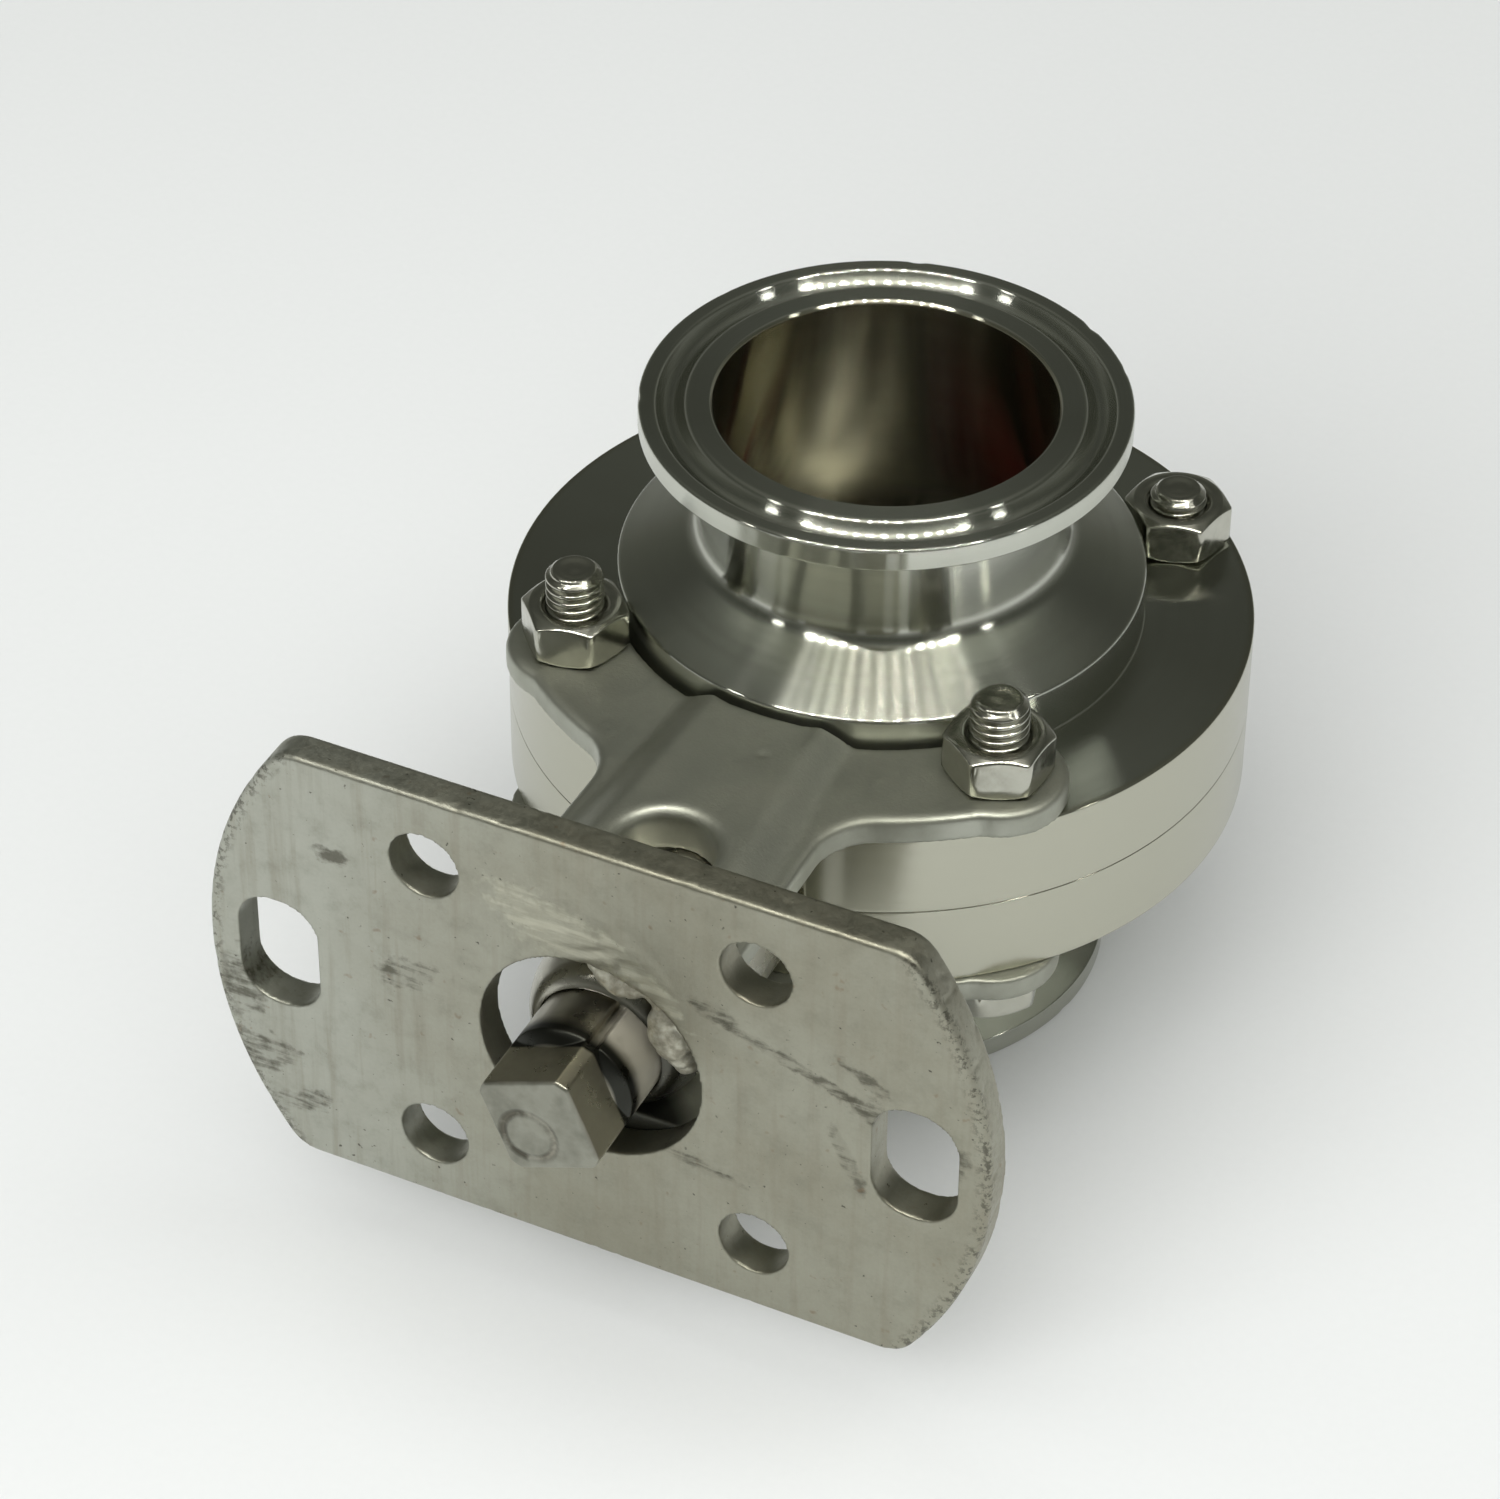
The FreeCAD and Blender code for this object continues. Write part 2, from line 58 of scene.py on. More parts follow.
nodes = frame["nodes"]

MID_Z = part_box("lower_body_half")[1][2]
plate_low, plate_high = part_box("actuator_plate")
PLATE_FRONT = plate_low[1]
PLATE_BACK = plate_high[1]
SLEEVE_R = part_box("stem_sleeve")[1][0]

# Thread and hexagon of the M6 fasteners
THREAD_R = 3.0 * MM
THREAD_ROOT_R = 2.45 * MM
THREAD_PITCH = 1.0 * MM
HEX_FLAT = 5.0 * MM
NUT_BORE_R = 3.05 * MM
HEX_TURNS = {"front_left": 13.0, "front_right": -35.0, "back_right": 17.0, "back_left": 40.0}
HEAD_TURN = 20.0

# Body halves
BORE_R = 17.6 * MM
FERRULE_R = 25.25 * MM
FERRULE_EDGE = 2.5 * MM
GROOVE_R = 21.95 * MM
GROOVE_HALF = 1.55 * MM
GROOVE_DEPTH = 1.25 * MM
NECK_R = 19.05 * MM
HUB_R = 27.5 * MM
HUB_TOP = 15.1 * MM
CONE_TOP = 19.2 * MM
FLANGE_R = 39.0 * MM
FLANGE_HALF = 9.5 * MM
SEAT_R = 22.8 * MM
SEAT_HALF = 5.2 * MM
BOLT_HOLE_R = 3.3 * MM
FERRULE_TAPER = math.radians(20.0)
POCKET_GAP = 0.04 * MM
SHARP_ANGLE = math.radians(40.0)

# Bushes and sleeve, as distances from the stem's axis and from the bore's axis
BUSH_R = 6.4 * MM
SPIGOT_R = 7.6 * MM
COLLAR_R = 9.2 * MM
COLLAR_NEAR = 24.0 * MM
COLLAR_FAR = 26.0 * MM
BUSH_END = 39.6 * MM
PIVOT_POCKET_END = 33.0 * MM
SLEEVE_NOSE = 65.0 * MM
SLEEVE_DOME = 6.0 * MM
DOME_TURN = math.radians(78.0)

# Stem
JOURNAL_R = 5.0 * MM
SHAFT_R = 6.7 * MM
STEM_STEP = 40.0 * MM
SQUARE_HALF = 5.2 * MM
SQUARE_LENGTH = 5.6 * MM
SQUARE_RAMP = 1.2 * MM
DISC_OPEN = math.radians(22.5)
STAMP_PLACE = (-1.06 * MM, -1.8 * MM)
STAMP_R = 2.8 * MM
STAMP_DEPTH = 0.42 * MM
END_ROUND = 0.42 * MM
SLOT_DEPTH = 0.9 * MM

# Bracket leg: how far the wings and the raised band stand out
WING_RISE = 3.0 * MM
BAND_RISE = 2.0 * MM

# Stains, placed as on the plate's front: place and half size in millimetres from the stem's axis,
# and slope. They reach through the plate, so its back shows them too.
STAINS = (
    ((-37.0, -14.5), (4.5, 3.0), 10.0), ((-39.0, -6.0), (2.5, 5.0), 0.0), ((-33.0, -19.5), (5.0, 1.6), 25.0),
    ((23.5, 7.3), (13.5, 0.8), -18.0), ((13.5, 11.2), (3.4, 1.4), -12.0), ((31.0, 4.6), (5.5, 1.7), -24.0),
    ((38.0, 1.0), (2.0, 4.0), -30.0), ((27.5, -2.0), (1.0, 4.5), 25.0), ((29.5, 9.0), (4.0, 0.9), -30.0),
    ((-20.0, 3.0), (4.0, 2.0), 20.0), ((12.0, -9.5), (5.0, 1.0), -10.0), ((-28.0, 15.0), (2.2, 1.2), 0.0),
)
# Ground patch over the hole and its brighter rim, in the same terms
PATCH = ((-3.5, 14.9), (8.5, 4.0), -22.0)
PATCH_RIM = ((5.6, 12.6), (7.5, 1.5), -40.0)

# Camera: seen from the front right and above
CAMERA_AZIMUTH = 25.52
CAMERA_ELEVATION = 39.54
CAMERA_ROLL = 0.44
CAMERA_DISTANCE = 0.5567
CAMERA_TARGET = Vector((-0.00987, -0.01077, 0.02838))
CAMERA_LENS = 126.44

# Overhead row of small lamps
LED_COUNT = 13
LED_PITCH = 0.038
LED_TOWARDS = 0.175
LIGHT_HEIGHT = 0.5
WHITE = (1.0, 1.0, 1.0)


# ---------------------------------------------------------------- mesh helpers

def link(piece):
    """Puts a new object into the scene."""
    bpy.context.scene.collection.objects.link(piece)
    return piece


def mesh_piece(name, vertices, faces):
    """An object from points and faces, with outward normals and smooth shading."""
    mesh = bpy.data.meshes.new(name)
    mesh.from_pydata([tuple(point) for point in vertices], [], faces)
    work = bmesh.new()
    work.from_mesh(mesh)
    bmesh.ops.remove_doubles(work, verts=work.verts, dist=1e-7)
    bmesh.ops.recalc_face_normals(work, faces=work.faces)
    work.to_mesh(mesh)
    work.free()
    mesh.shade_smooth()
    return link(bpy.data.objects.new(name, mesh))


def ring_solid(name, rings, looped=False):
    """A solid skinned over rings of points; its two ends are fans unless it loops round."""
    count = len(rings[0])
    vertices = [point for ring in rings for point in ring]
    faces = []
    pairs = len(rings) if looped else len(rings) - 1
    for level in range(pairs):
        upper = (level + 1) % len(rings)
        for step in range(count):
            after = (step + 1) % count
            faces.append((level * count + step, level * count + after,
                          upper * count + after, upper * count + step))
    if not looped:
        for level in (0, len(rings) - 1):
            centre = np.mean(rings[level], axis=0)
            vertices.append(centre)
            for step in range(count):
                faces.append((level * count + step, level * count + (step + 1) % count, len(vertices) - 1))
    return mesh_piece(name, vertices, faces)


def soft_min(a, b, blend):
    """The smaller of two values, with a rounded changeover."""
    share = np.clip(0.5 + 0.5 * (b - a) / blend, 0.0, 1.0)
    return b * (1.0 - share) + a * share - blend * share * (1.0 - share)


def polygon_radius(angles, sides, flat, turn):
    """Distance from the centre to a regular polygon's side in each direction."""
    sector = 2.0 * math.pi / sides
    offset = np.mod(angles - turn, sector) - sector / 2.0
    return flat / np.cos(offset)


def applied(piece):
    """Bakes a piece's modifiers into its mesh."""
    graph = bpy.context.evaluated_depsgraph_get()
    mesh = bpy.data.meshes.new_from_object(piece.evaluated_get(graph))
    piece.modifiers.clear()
    piece.data = mesh
    mesh.shade_smooth()
    return piece


def remeshed(piece, voxel, smoothing):
    """Rebuilds a piece as one even skin and softens its edges."""
    remesh = piece.modifiers.new("remesh", "REMESH")
    remesh.mode = "VOXEL"
    remesh.voxel_size = voxel
    if smoothing:
        soften = piece.modifiers.new("soften", "SMOOTH")
        soften.factor = 0.5
        soften.iterations = smoothing
    return applied(piece)


def cad_copy(node, name):
    """A new piece that starts as a copy of a CAD node's mesh."""
    mesh = nodes[node].data.copy()
    mesh.materials.clear()
    return link(bpy.data.objects.new(name, mesh))


def move_points(piece, shift):
    """Moves every vertex along its normal by what shift(point, normal) returns."""
    mesh = piece.data
    count = len(mesh.vertices)
    places = np.empty(count * 3)
    normals = np.empty(count * 3)
    mesh.vertices.foreach_get("co", places)
    mesh.vertex_normals.foreach_get("vector", normals)
    places = places.reshape(-1, 3)
    normals = normals.reshape(-1, 3)
    amounts = np.array([shift(place, normal) for place, normal in zip(places, normals)])
    places += normals * amounts[:, None]
    mesh.vertices.foreach_set("co", places.ravel())
    mesh.update()


def lumps(name, balls, voxel, smoothing, rough, grain):
    """Weld metal: overlapping balls fused into one skin, with a rough surface."""
    vertices = []
    faces = []
    for centre, size in balls:
        ball = bmesh.new()
        bmesh.ops.create_icosphere(ball, subdivisions=3, radius=1.0)
        start = len(vertices)
        vertices += [[middle + reach * half for middle, reach, half in zip(centre, point.co, size)]
                     for point in ball.verts]
        faces += [tuple(start + corner.index for corner in face.verts) for face in ball.faces]
        ball.free()
    piece = mesh_piece(name, vertices, faces)
    remeshed(piece, voxel, smoothing)

    def shift(place, normal):
        return rough * noise.fractal(Vector(place) / grain, 1.0, 2.0, 3)
    move_points(piece, shift)
    return piece


# ---------------------------------------------------------------- pieces

def rounded_outline(corners, steps=6):
    """A closed outline whose corners, each (x, y, reach), are curved over their reach."""
    points = []
    for index, (x, y, reach) in enumerate(corners):
        here = Vector((x, y))
        before = Vector(corners[index - 1][:2]) - here
        after = Vector(corners[(index + 1) % len(corners)][:2]) - here
        first = here + before.normalized() * reach
        last = here + after.normalized() * reach
        for step in range(steps + 1):
            share = step / steps
            rest = 1.0 - share
            points.append(first * rest ** 2 + here * (2.0 * share * rest) + last * share ** 2)
        next_reach = corners[(index + 1) % len(corners)][2]
        straight = after.length - reach - next_reach
        for share in (0.04, 0.3, 0.7, 0.96):
            points.append(last + after.normalized() * straight * share)
    return points


def pocket(profile, axis_point, along_y):
    """A solid of revolution used to cut a hole: (radius, place) pairs about Z or Y."""
    angles = np.linspace(0.0, 2.0 * math.pi, 96, endpoint=False)
    rings = []
    for radius, place in profile:
        across = axis_point[0] + radius * np.cos(angles)
        up = axis_point[1] + radius * np.sin(angles)
        level = np.full_like(angles, place)
        rings.append(np.stack([across, level, up] if along_y else [across, up, level], 1))
    return ring_solid("cutter", rings)


def body_half(side):
    """Turned casing half with softened edges, a nicked rim, bolt holes and the stem's pockets."""
    node = side + "_body_half"
    sign = 1.0 if side == "upper" else -1.0
    face = MID_Z
    edge = 0.35 * MM
    under = face - FERRULE_EDGE - (FERRULE_R - NECK_R) * math.tan(FERRULE_TAPER)
    outline = rounded_outline([
        (SEAT_R, 0.0, 0.05 * MM), (SEAT_R, SEAT_HALF, 0.1 * MM), (BORE_R, SEAT_HALF, 0.1 * MM),
        (BORE_R, face - edge, 0.14 * MM), (BORE_R + edge, face, 0.14 * MM),
        (GROOVE_R - GROOVE_HALF, face, 0.4 * MM), (GROOVE_R, face - 2.0 * GROOVE_DEPTH, 2.4 * MM),
        (GROOVE_R + GROOVE_HALF, face, 0.3 * MM), (FERRULE_R, face, 0.42 * MM),
        (FERRULE_R, face - FERRULE_EDGE, 0.15 * MM), (NECK_R, under, 0.5 * MM),
        (NECK_R, CONE_TOP, 1.5 * MM), (HUB_R, HUB_TOP, 0.32 * MM), (HUB_R, FLANGE_HALF, 0.2 * MM),
        (FLANGE_R, FLANGE_HALF, 0.3 * MM), (FLANGE_R, 0.0, 0.16 * MM),
    ])
    angles = np.linspace(0.0, 2.0 * math.pi, 240, endpoint=False)
    rings = [(radius, MID_Z + sign * height) for radius, height in outline]
    piece = ring_solid("turned_" + node, as_points(angles, rings, (0.0, 0.0)), looped=True)
    beyond = FLANGE_R + 1.0 * MM
    spigot, collar, bush = SPIGOT_R + POCKET_GAP, COLLAR_R + POCKET_GAP, BUSH_R + POCKET_GAP
    inside = BORE_R - 1.0 * MM
    drive = [(spigot, -beyond), (spigot, -COLLAR_FAR), (collar, -COLLAR_FAR), (collar, -COLLAR_NEAR),
             (bush, -COLLAR_NEAR), (bush, -inside)]
    pivot = [(bush, inside), (bush, PIVOT_POCKET_END)]
    cutters = [pocket(drive, (0.0, MID_Z), True), pocket(pivot, (0.0, MID_Z), True)]
    for corner in CORNERS:
        centre = axis_of(corner + "_bolt")[0]
        hole = [(BOLT_HOLE_R, MID_Z - beyond / 2.0), (BOLT_HOLE_R, MID_Z + beyond / 2.0)]
        cutters.append(pocket(hole, centre, False))
    for cutter in cutters:
        cut = piece.modifiers.new("cut", "BOOLEAN")
        cut.operation = "DIFFERENCE"
        cut.object = cutter
        applied(piece)
        bpy.data.objects.remove(cutter)

    def shift(place, normal):
        rim = math.hypot(place[0], place[1]) - (FERRULE_R - 0.7 * MM)
        if rim < 0.0 or abs(place[2] - MID_Z) < face - 0.8 * MM:
            return 0.0
        dent = noise.noise(Vector((place[0] * 330.0, place[1] * 330.0, sign * 4.0))) - 0.40
        return -0.9 * max(0.0, dent) * rim
    move_points(piece, shift)
    piece.data.set_sharp_from_angle(angle=SHARP_ANGLE)
    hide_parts(node)
    return piece


def hexagon_profile(angles, turn, low, high, steps):
    """Rings of a hexagon with rounded corners and a chamfered crown at both ends."""
    corner = HEX_FLAT / math.cos(math.pi / 6.0)
    across = polygon_radius(angles, 6, HEX_FLAT, turn)
    face_r = HEX_FLAT * 0.93
    rings = []
    crown = (corner - face_r) * math.tan(math.radians(30.0))
    heights = np.concatenate([
        low + crown * np.linspace(0.0, 1.0, steps) ** 1.3,
        high - crown * np.linspace(1.0, 0.0, steps) ** 1.3,
    ])
    for height in heights:
        reach = min(height - low, high - height)
        envelope = face_r + reach / math.tan(math.radians(30.0))
        radius = soft_min(across, np.full_like(across, envelope), 0.22 * MM)
        radius = soft_min(radius, np.full_like(radius, corner - 0.06 * MM), 0.12 * MM)
        rings.append((radius, height))
    return rings


def as_points(angles, rings, centre):
    """World points for upright (radius, height) rings about a centre."""
    made = []
    for radius, height in rings:
        radius = np.broadcast_to(radius, angles.shape)
        height = np.broadcast_to(height, angles.shape)
        x = centre[0] + radius * np.cos(angles)
        y = centre[1] + radius * np.sin(angles)
        made.append(np.stack([x, y, height], 1))
    return made


def along_stem(angles, rings):
    """World points for (radius, depth) rings about the stem's axis."""
    made = []
    for radius, depth in rings:
        radius = np.broadcast_to(radius, angles.shape)
        depth = np.broadcast_to(depth, angles.shape)
        made.append(np.stack([radius * np.cos(angles), -depth, MID_Z + radius * np.sin(angles)], 1))
    return made


def axis_of(node):
    """Centre in plan, bottom and top of an upright CAD node."""
    low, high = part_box(node)
    return ((low[0] + high[0]) / 2.0, (low[1] + high[1]) / 2.0), low[2], high[2]


def hex_nut(corner):
    """Chamfered M6 nut with a countersunk bore."""
    centre, low, high = axis_of(corner + "_nut")
    angles = np.linspace(0.0, 2.0 * math.pi, 180, endpoint=False)
    turn = math.radians(HEX_TURNS[corner])
    rings = hexagon_profile(angles, turn, low, high, 9)
    lead = 0.5 * MM
    rings += [(NUT_BORE_R + lead + 0.25 * MM, high), (NUT_BORE_R + lead, high - 0.04 * MM),
              (NUT_BORE_R + 0.1 * MM, high - lead + 0.05 * MM), (NUT_BORE_R, high - lead - 0.1 * MM),
              (NUT_BORE_R, low + lead), (NUT_BORE_R + lead, low)]
    piece = ring_solid(corner + "_hex_nut", as_points(angles, rings, centre), looped=True)
    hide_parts(corner + "_nut")
    return piece


def hex_bolt(corner):
    """M6 bolt: hex head below, shank, and a rolled right-hand thread up to a chamfered tip."""
    centre, low, high = axis_of(corner + "_bolt")
    angles = np.linspace(0.0, 2.0 * math.pi, 96, endpoint=False)
    head_top = low + 4.0 * MM
    rings = [(HEX_FLAT * 0.5, low + 0.25 * MM), (HEX_FLAT * 0.62, low + 0.22 * MM),
             (HEX_FLAT * 0.70, low + 0.02 * MM)]
    rings += hexagon_profile(angles, math.radians(HEX_TURNS[corner] + HEAD_TURN), low, head_top, 7)
    rings += [(THREAD_R + 0.4 * MM, head_top), (THREAD_R, head_top + 0.15 * MM)]
    thread_length = 13.0 * MM
    start = high - thread_length
    levels = int(thread_length / THREAD_PITCH * 14)
    tip_land = THREAD_ROOT_R - 0.25 * MM
    for level in range(levels + 1):
        height = start + thread_length * level / levels
        turns = np.mod((height - start) / THREAD_PITCH - angles / (2.0 * math.pi), 1.0)
        ridge = np.clip(1.25 - 2.6 * np.abs(turns - 0.5), 0.0, 1.0)
        ridge = ridge * ridge * (3.0 - 2.0 * ridge)
        run_in = min(1.0, level / 20.0)
        radius = THREAD_ROOT_R + (THREAD_R - THREAD_ROOT_R) * ridge
        radius = THREAD_R * (1.0 - run_in) + radius * run_in
        crown = tip_land + (high - height) * 1.1
        radius = soft_min(radius, np.full_like(radius, crown), 0.12 * MM)
        rings.append((radius, height))
    for share, sink in ((0.9, 0.0), (0.72, 0.03), (0.6, 0.08), (0.35, 0.09), (0.12, 0.05)):
        rings.append((tip_land * share, high - sink * MM))
    piece = ring_solid(corner + "_hex_bolt", as_points(angles, rings, centre))
    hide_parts(corner + "_bolt")
    return piece


def milled_stem():
    """Drive stem: journal, shaft and the milled square, with a shallow round stamp on its end."""
    stem_low, stem_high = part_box("drive_stem")
    inner = -stem_high[1]
    outer = -stem_low[1]
    angles = np.linspace(0.0, 2.0 * math.pi, 288, endpoint=False)
    square = polygon_radius(angles, 4, SQUARE_HALF, math.pi / 4.0 + math.pi / 2.0)
    ramp_start = outer - SQUARE_LENGTH
    rings = [(JOURNAL_R * 0.5, inner), (JOURNAL_R - 0.3 * MM, inner), (JOURNAL_R, inner + 0.3 * MM),
             (JOURNAL_R, STEM_STEP), (SHAFT_R - 0.2 * MM, STEM_STEP), (SHAFT_R, STEM_STEP + 0.2 * MM),
             (SHAFT_R, ramp_start - 8.0 * MM)]
    blend = 0.10 * MM
    depths = np.concatenate([
        np.linspace(ramp_start - 7.9 * MM, ramp_start - 2.1 * MM, 8),
        np.linspace(ramp_start - 2.0 * MM, ramp_start + 0.3 * MM, 30),
        np.linspace(ramp_start + 0.6 * MM, outer - END_ROUND, 8),
        outer - END_ROUND + END_ROUND * np.sin(np.linspace(0.1, math.pi / 2.0, 8)),
    ])
    for depth in depths:
        rise = (ramp_start - depth) / SQUARE_RAMP
        cone = SQUARE_HALF + (SHAFT_R - SQUARE_HALF) * (1.0 - (1.0 - min(max(rise, 0.0), 1.0)) ** 1.4)
        cut = -soft_min(-square, np.full_like(square, -cone), blend)
        radius = soft_min(cut, np.full_like(cut, SHAFT_R), blend)
        slot = np.cos(angles - math.pi / 4.0) - math.cos(0.11)
        slot_share = min(max((ramp_start - 0.9 * MM - depth) / (0.4 * MM), 0.0), 1.0)
        radius = radius - SLOT_DEPTH * slot_share * np.clip(slot / 0.003, 0.0, 1.0)
        late = depth - (outer - END_ROUND)
        if late > 0:
            radius = radius - (END_ROUND - math.sqrt(max(END_ROUND ** 2 - late ** 2, 0.0)))
        rings.append((radius, depth))
    rim = rings[-1][0]
    for share in np.linspace(0.97, 0.03, 44):
        radius = rim * share
        x = radius * np.cos(angles + DISC_OPEN)
        z = radius * np.sin(angles + DISC_OPEN)
        from_stamp = np.hypot(x - STAMP_PLACE[0], z - STAMP_PLACE[1])
        groove = np.exp(-((from_stamp - STAMP_R) / (0.42 * MM)) ** 2)
        patchy = np.array([0.45 + 0.55 * max(-0.4, noise.noise(Vector((a * 260.0, 3.1, b * 260.0))))
                           for a, b in zip(x, z)])
        rings.append((radius, outer - groove * patchy * STAMP_DEPTH))
    piece = ring_solid("milled_drive_stem", along_stem(angles + DISC_OPEN, rings))
    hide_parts("drive_stem")
    return piece


def worn_plate():
    """Front plate with soft, nicked edges, a ground patch over its hole and slight waves."""
    piece = cad_copy("actuator_plate", "worn_actuator_plate")
    remeshed(piece, 0.27 * MM, 1)
    half_height = (plate_high[2] - plate_low[2]) / 2.0
    radius = plate_high[0]

    def shift(place, normal):
        x, y, z = place
        z -= MID_Z
        inside = min(radius - math.hypot(x, z), half_height - abs(z))
        point = Vector(place)
        amount = 0.012 * MM * noise.noise(point * 160.0)
        if inside < 1.1 * MM:
            nick = noise.noise(point * 700.0) - 0.30
            amount -= 0.28 * MM * max(0.0, nick) * (1.0 - inside / (1.1 * MM))
        if normal[1] < -0.6:
            patch = ground_patch(x, z)
            if patch > 0.0:
                ridges = noise.noise(Vector((x * 240.0 + z * 560.0, 0.3, (z - x * 0.4) * 900.0)))
                amount += patch * MM * (0.12 + 0.16 * ridges)
        return amount
    move_points(piece, shift)
    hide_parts("actuator_plate")
    return piece


def ground_patch(x, z):
    """How far a place on the plate's front lies inside the patch ground flush over the weld."""
    along = (x * 0.93 - z * 0.36 + 7.0 * MM) / (11.5 * MM)
    across = (x * 0.36 + z * 0.93 - 13.6 * MM) / (4.4 * MM)
    return max(0.0, 1.0 - along * along - across * across) ** 0.5


def softened_height(x, y, height):
    """A leg's surface height once the sides of its raised band are drawn out into soft slopes."""
    along = min(max((-y - 28.0 * MM) / (35.0 * MM), 0.0), 1.0)
    outside = abs(x) - (8.6 + 2.6 * along) * MM
    share = min(max((1.2 * MM - outside) / (4.6 * MM), 0.0), 1.0)
    skin = min(max((height / WING_RISE - 0.6) / 0.4, 0.0), 1.0)
    drawn = min(height, WING_RISE) + BAND_RISE * share * share * (3.0 - 2.0 * share) * skin
    weight = min(max((outside + 3.9 * MM) / (1.0 * MM), 0.0), 1.0)
    return height * (1.0 - weight) + drawn * weight


def cast_leg(side):
    """Bracket leg with the soft edges and slightly uneven skin of a casting."""
    node = "bracket_" + side + "_leg"
    piece = cad_copy(node, "cast_" + node)
    remeshed(piece, 0.34 * MM, 4)
    low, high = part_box(node)
    sign = 1.0 if side == "upper" else -1.0
    root = low[2] if side == "upper" else high[2]
    ding = Vector((2.6 * MM, -34.0 * MM, high[2]))
    for vertex in piece.data.vertices:
        x, y, z = vertex.co
        height = (z - root) * sign
        vertex.co.z = root + sign * softened_height(x, y, height)
    soften = piece.modifiers.new("soften", "SMOOTH")
    soften.iterations = 3
    applied(piece)

    def shift(place, normal):
        point = Vector(place)
        amount = 0.02 * MM * noise.noise(point * 220.0)
        if side == "upper":
            amount -= 0.2 * MM * max(0.0, 1.0 - (point - ding).length / (0.7 * MM))
        return amount
    move_points(piece, shift)
    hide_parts(node)
    return piece


def weld_bead(side):
    """Rippled bead across a leg's outer face where it meets the plate."""
    node = side + "_weld_bead"
    low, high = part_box(node)
    sign = 1.0 if side == "upper" else -1.0
    root = low[2] if side == "upper" else high[2]
    balls = []
    steps = 22
    for index in range(steps + 1):
        x = low[0] + (high[0] - low[0]) * (0.05 + 0.9 * index / steps)
        size = (1.35 + 0.12 * math.sin(index * 2.3)) * MM
        centre = (x, PLATE_BACK + 0.45 * MM, root + sign * 0.3 * MM)
        balls.append((centre, (0.62 * size, size * 1.05, size)))
    piece = lumps("rippled_" + node, balls, 0.2 * MM, 1, 0.05 * MM, 1.2 * MM)
    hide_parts(node)
    return piece


def domed_sleeve():
    """Stem sleeve with a long domed nose; its collar and bore are those of the plain one."""
    shoulder = FLANGE_R + 0.2 * MM
    edge = 0.05 * MM
    mouth = 6.76 * MM
    outline = [(BUSH_R, COLLAR_NEAR), (COLLAR_R - edge, COLLAR_NEAR), (COLLAR_R, COLLAR_NEAR + edge),
               (COLLAR_R, COLLAR_FAR - edge), (COLLAR_R - edge, COLLAR_FAR), (SPIGOT_R, COLLAR_FAR),
               (SPIGOT_R, shoulder), (SLEEVE_R - 0.2 * MM, shoulder), (SLEEVE_R, shoulder + 0.2 * MM),
               (SLEEVE_R, SLEEVE_NOSE - SLEEVE_DOME)]
    for step in range(1, 17):
        turn = DOME_TURN * step / 16.0
        drop = (1.0 - math.cos(turn)) / (1.0 - math.cos(DOME_TURN))
        reach = math.sin(turn) / math.sin(DOME_TURN)
        along = SLEEVE_NOSE - SLEEVE_DOME + (SLEEVE_DOME - 0.1 * MM) * reach
        outline.append((SLEEVE_R - 2.6 * MM * drop, along))
    outline += [(SLEEVE_R - 2.68 * MM, SLEEVE_NOSE), (SLEEVE_R - 2.74 * MM, SLEEVE_NOSE - 0.1 * MM),
                (mouth, BUSH_END), (BUSH_R, BUSH_END)]
    angles = np.linspace(0.0, 2.0 * math.pi, 160, endpoint=False)
    rings = along_stem(angles, outline)
    piece = ring_solid("domed_stem_sleeve", rings, looped=True)
    piece.data.set_sharp_from_angle(angle=SHARP_ANGLE)
    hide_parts("stem_sleeve")
    return piece


def sleeve_weld():
    """Tack weld that joins the stem sleeve to the plate inside the plate's hole."""
    balls = []
    for x, z, depth, size in (
        (0.4, 10.9, 1.0, 1.3), (1.5, 10.3, 0.8, 1.7), (2.7, 9.8, 0.7, 1.8), (3.8, 9.5, 0.9, 1.6),
        (5.0, 9.5, 1.5, 1.4), (6.2, 8.7, 1.5, 1.4), (7.2, 7.7, 1.3, 1.5),
        (7.5, 6.4, 0.8, 1.9), (7.9, 5.1, 0.7, 2.1), (8.4, 3.8, 0.8, 2.0), (8.8, 2.6, 1.1, 1.8),
        (9.2, 1.4, 1.5, 1.5),
        (5.6, 10.2, 1.4, 1.5), (7.6, 8.8, 1.4, 1.7), (9.3, 7.0, 1.5, 1.8), (10.4, 4.8, 1.7, 1.6),
    ):
        centre = (x * MM, PLATE_FRONT + (depth + 1.0) * MM, MID_Z + z * MM)
        balls.append((centre, (size * MM, size * 0.9 * MM, size * MM)))
    piece = lumps("sleeve_tack_weld", balls, 0.18 * MM, 9, 0.24 * MM, 3.6 * MM)
    return piece


# ---------------------------------------------------------------- materials

def add(tree, kind, inputs=None, **settings):
    """Adds a shader node; an input may be a value or another node's output."""
    made = tree.nodes.new("ShaderNode" + kind)
    for key, value in settings.items():
        setattr(made, key, value)
    for key, value in (inputs or {}).items():
        if isinstance(value, bpy.types.NodeSocket):
            tree.links.new(value, made.inputs[key])
        else:
            made.inputs[key].default_value = value
    return made


def new_material(name, roughness, anisotropic=0.0, metallic=1.0):
    """A material, metal unless told otherwise, with its node tree, shader and object coordinates."""
    material = bpy.data.materials.new(name)
    material.use_nodes = True
    tree = material.node_tree
    shader = tree.nodes["Principled BSDF"]
    shader.inputs["Metallic"].default_value = metallic
    shader.inputs["Roughness"].default_value = roughness
    shader.inputs["Anisotropic"].default_value = anisotropic
    place = add(tree, "TexCoord").outputs["Object"]
    return material, tree, shader, place


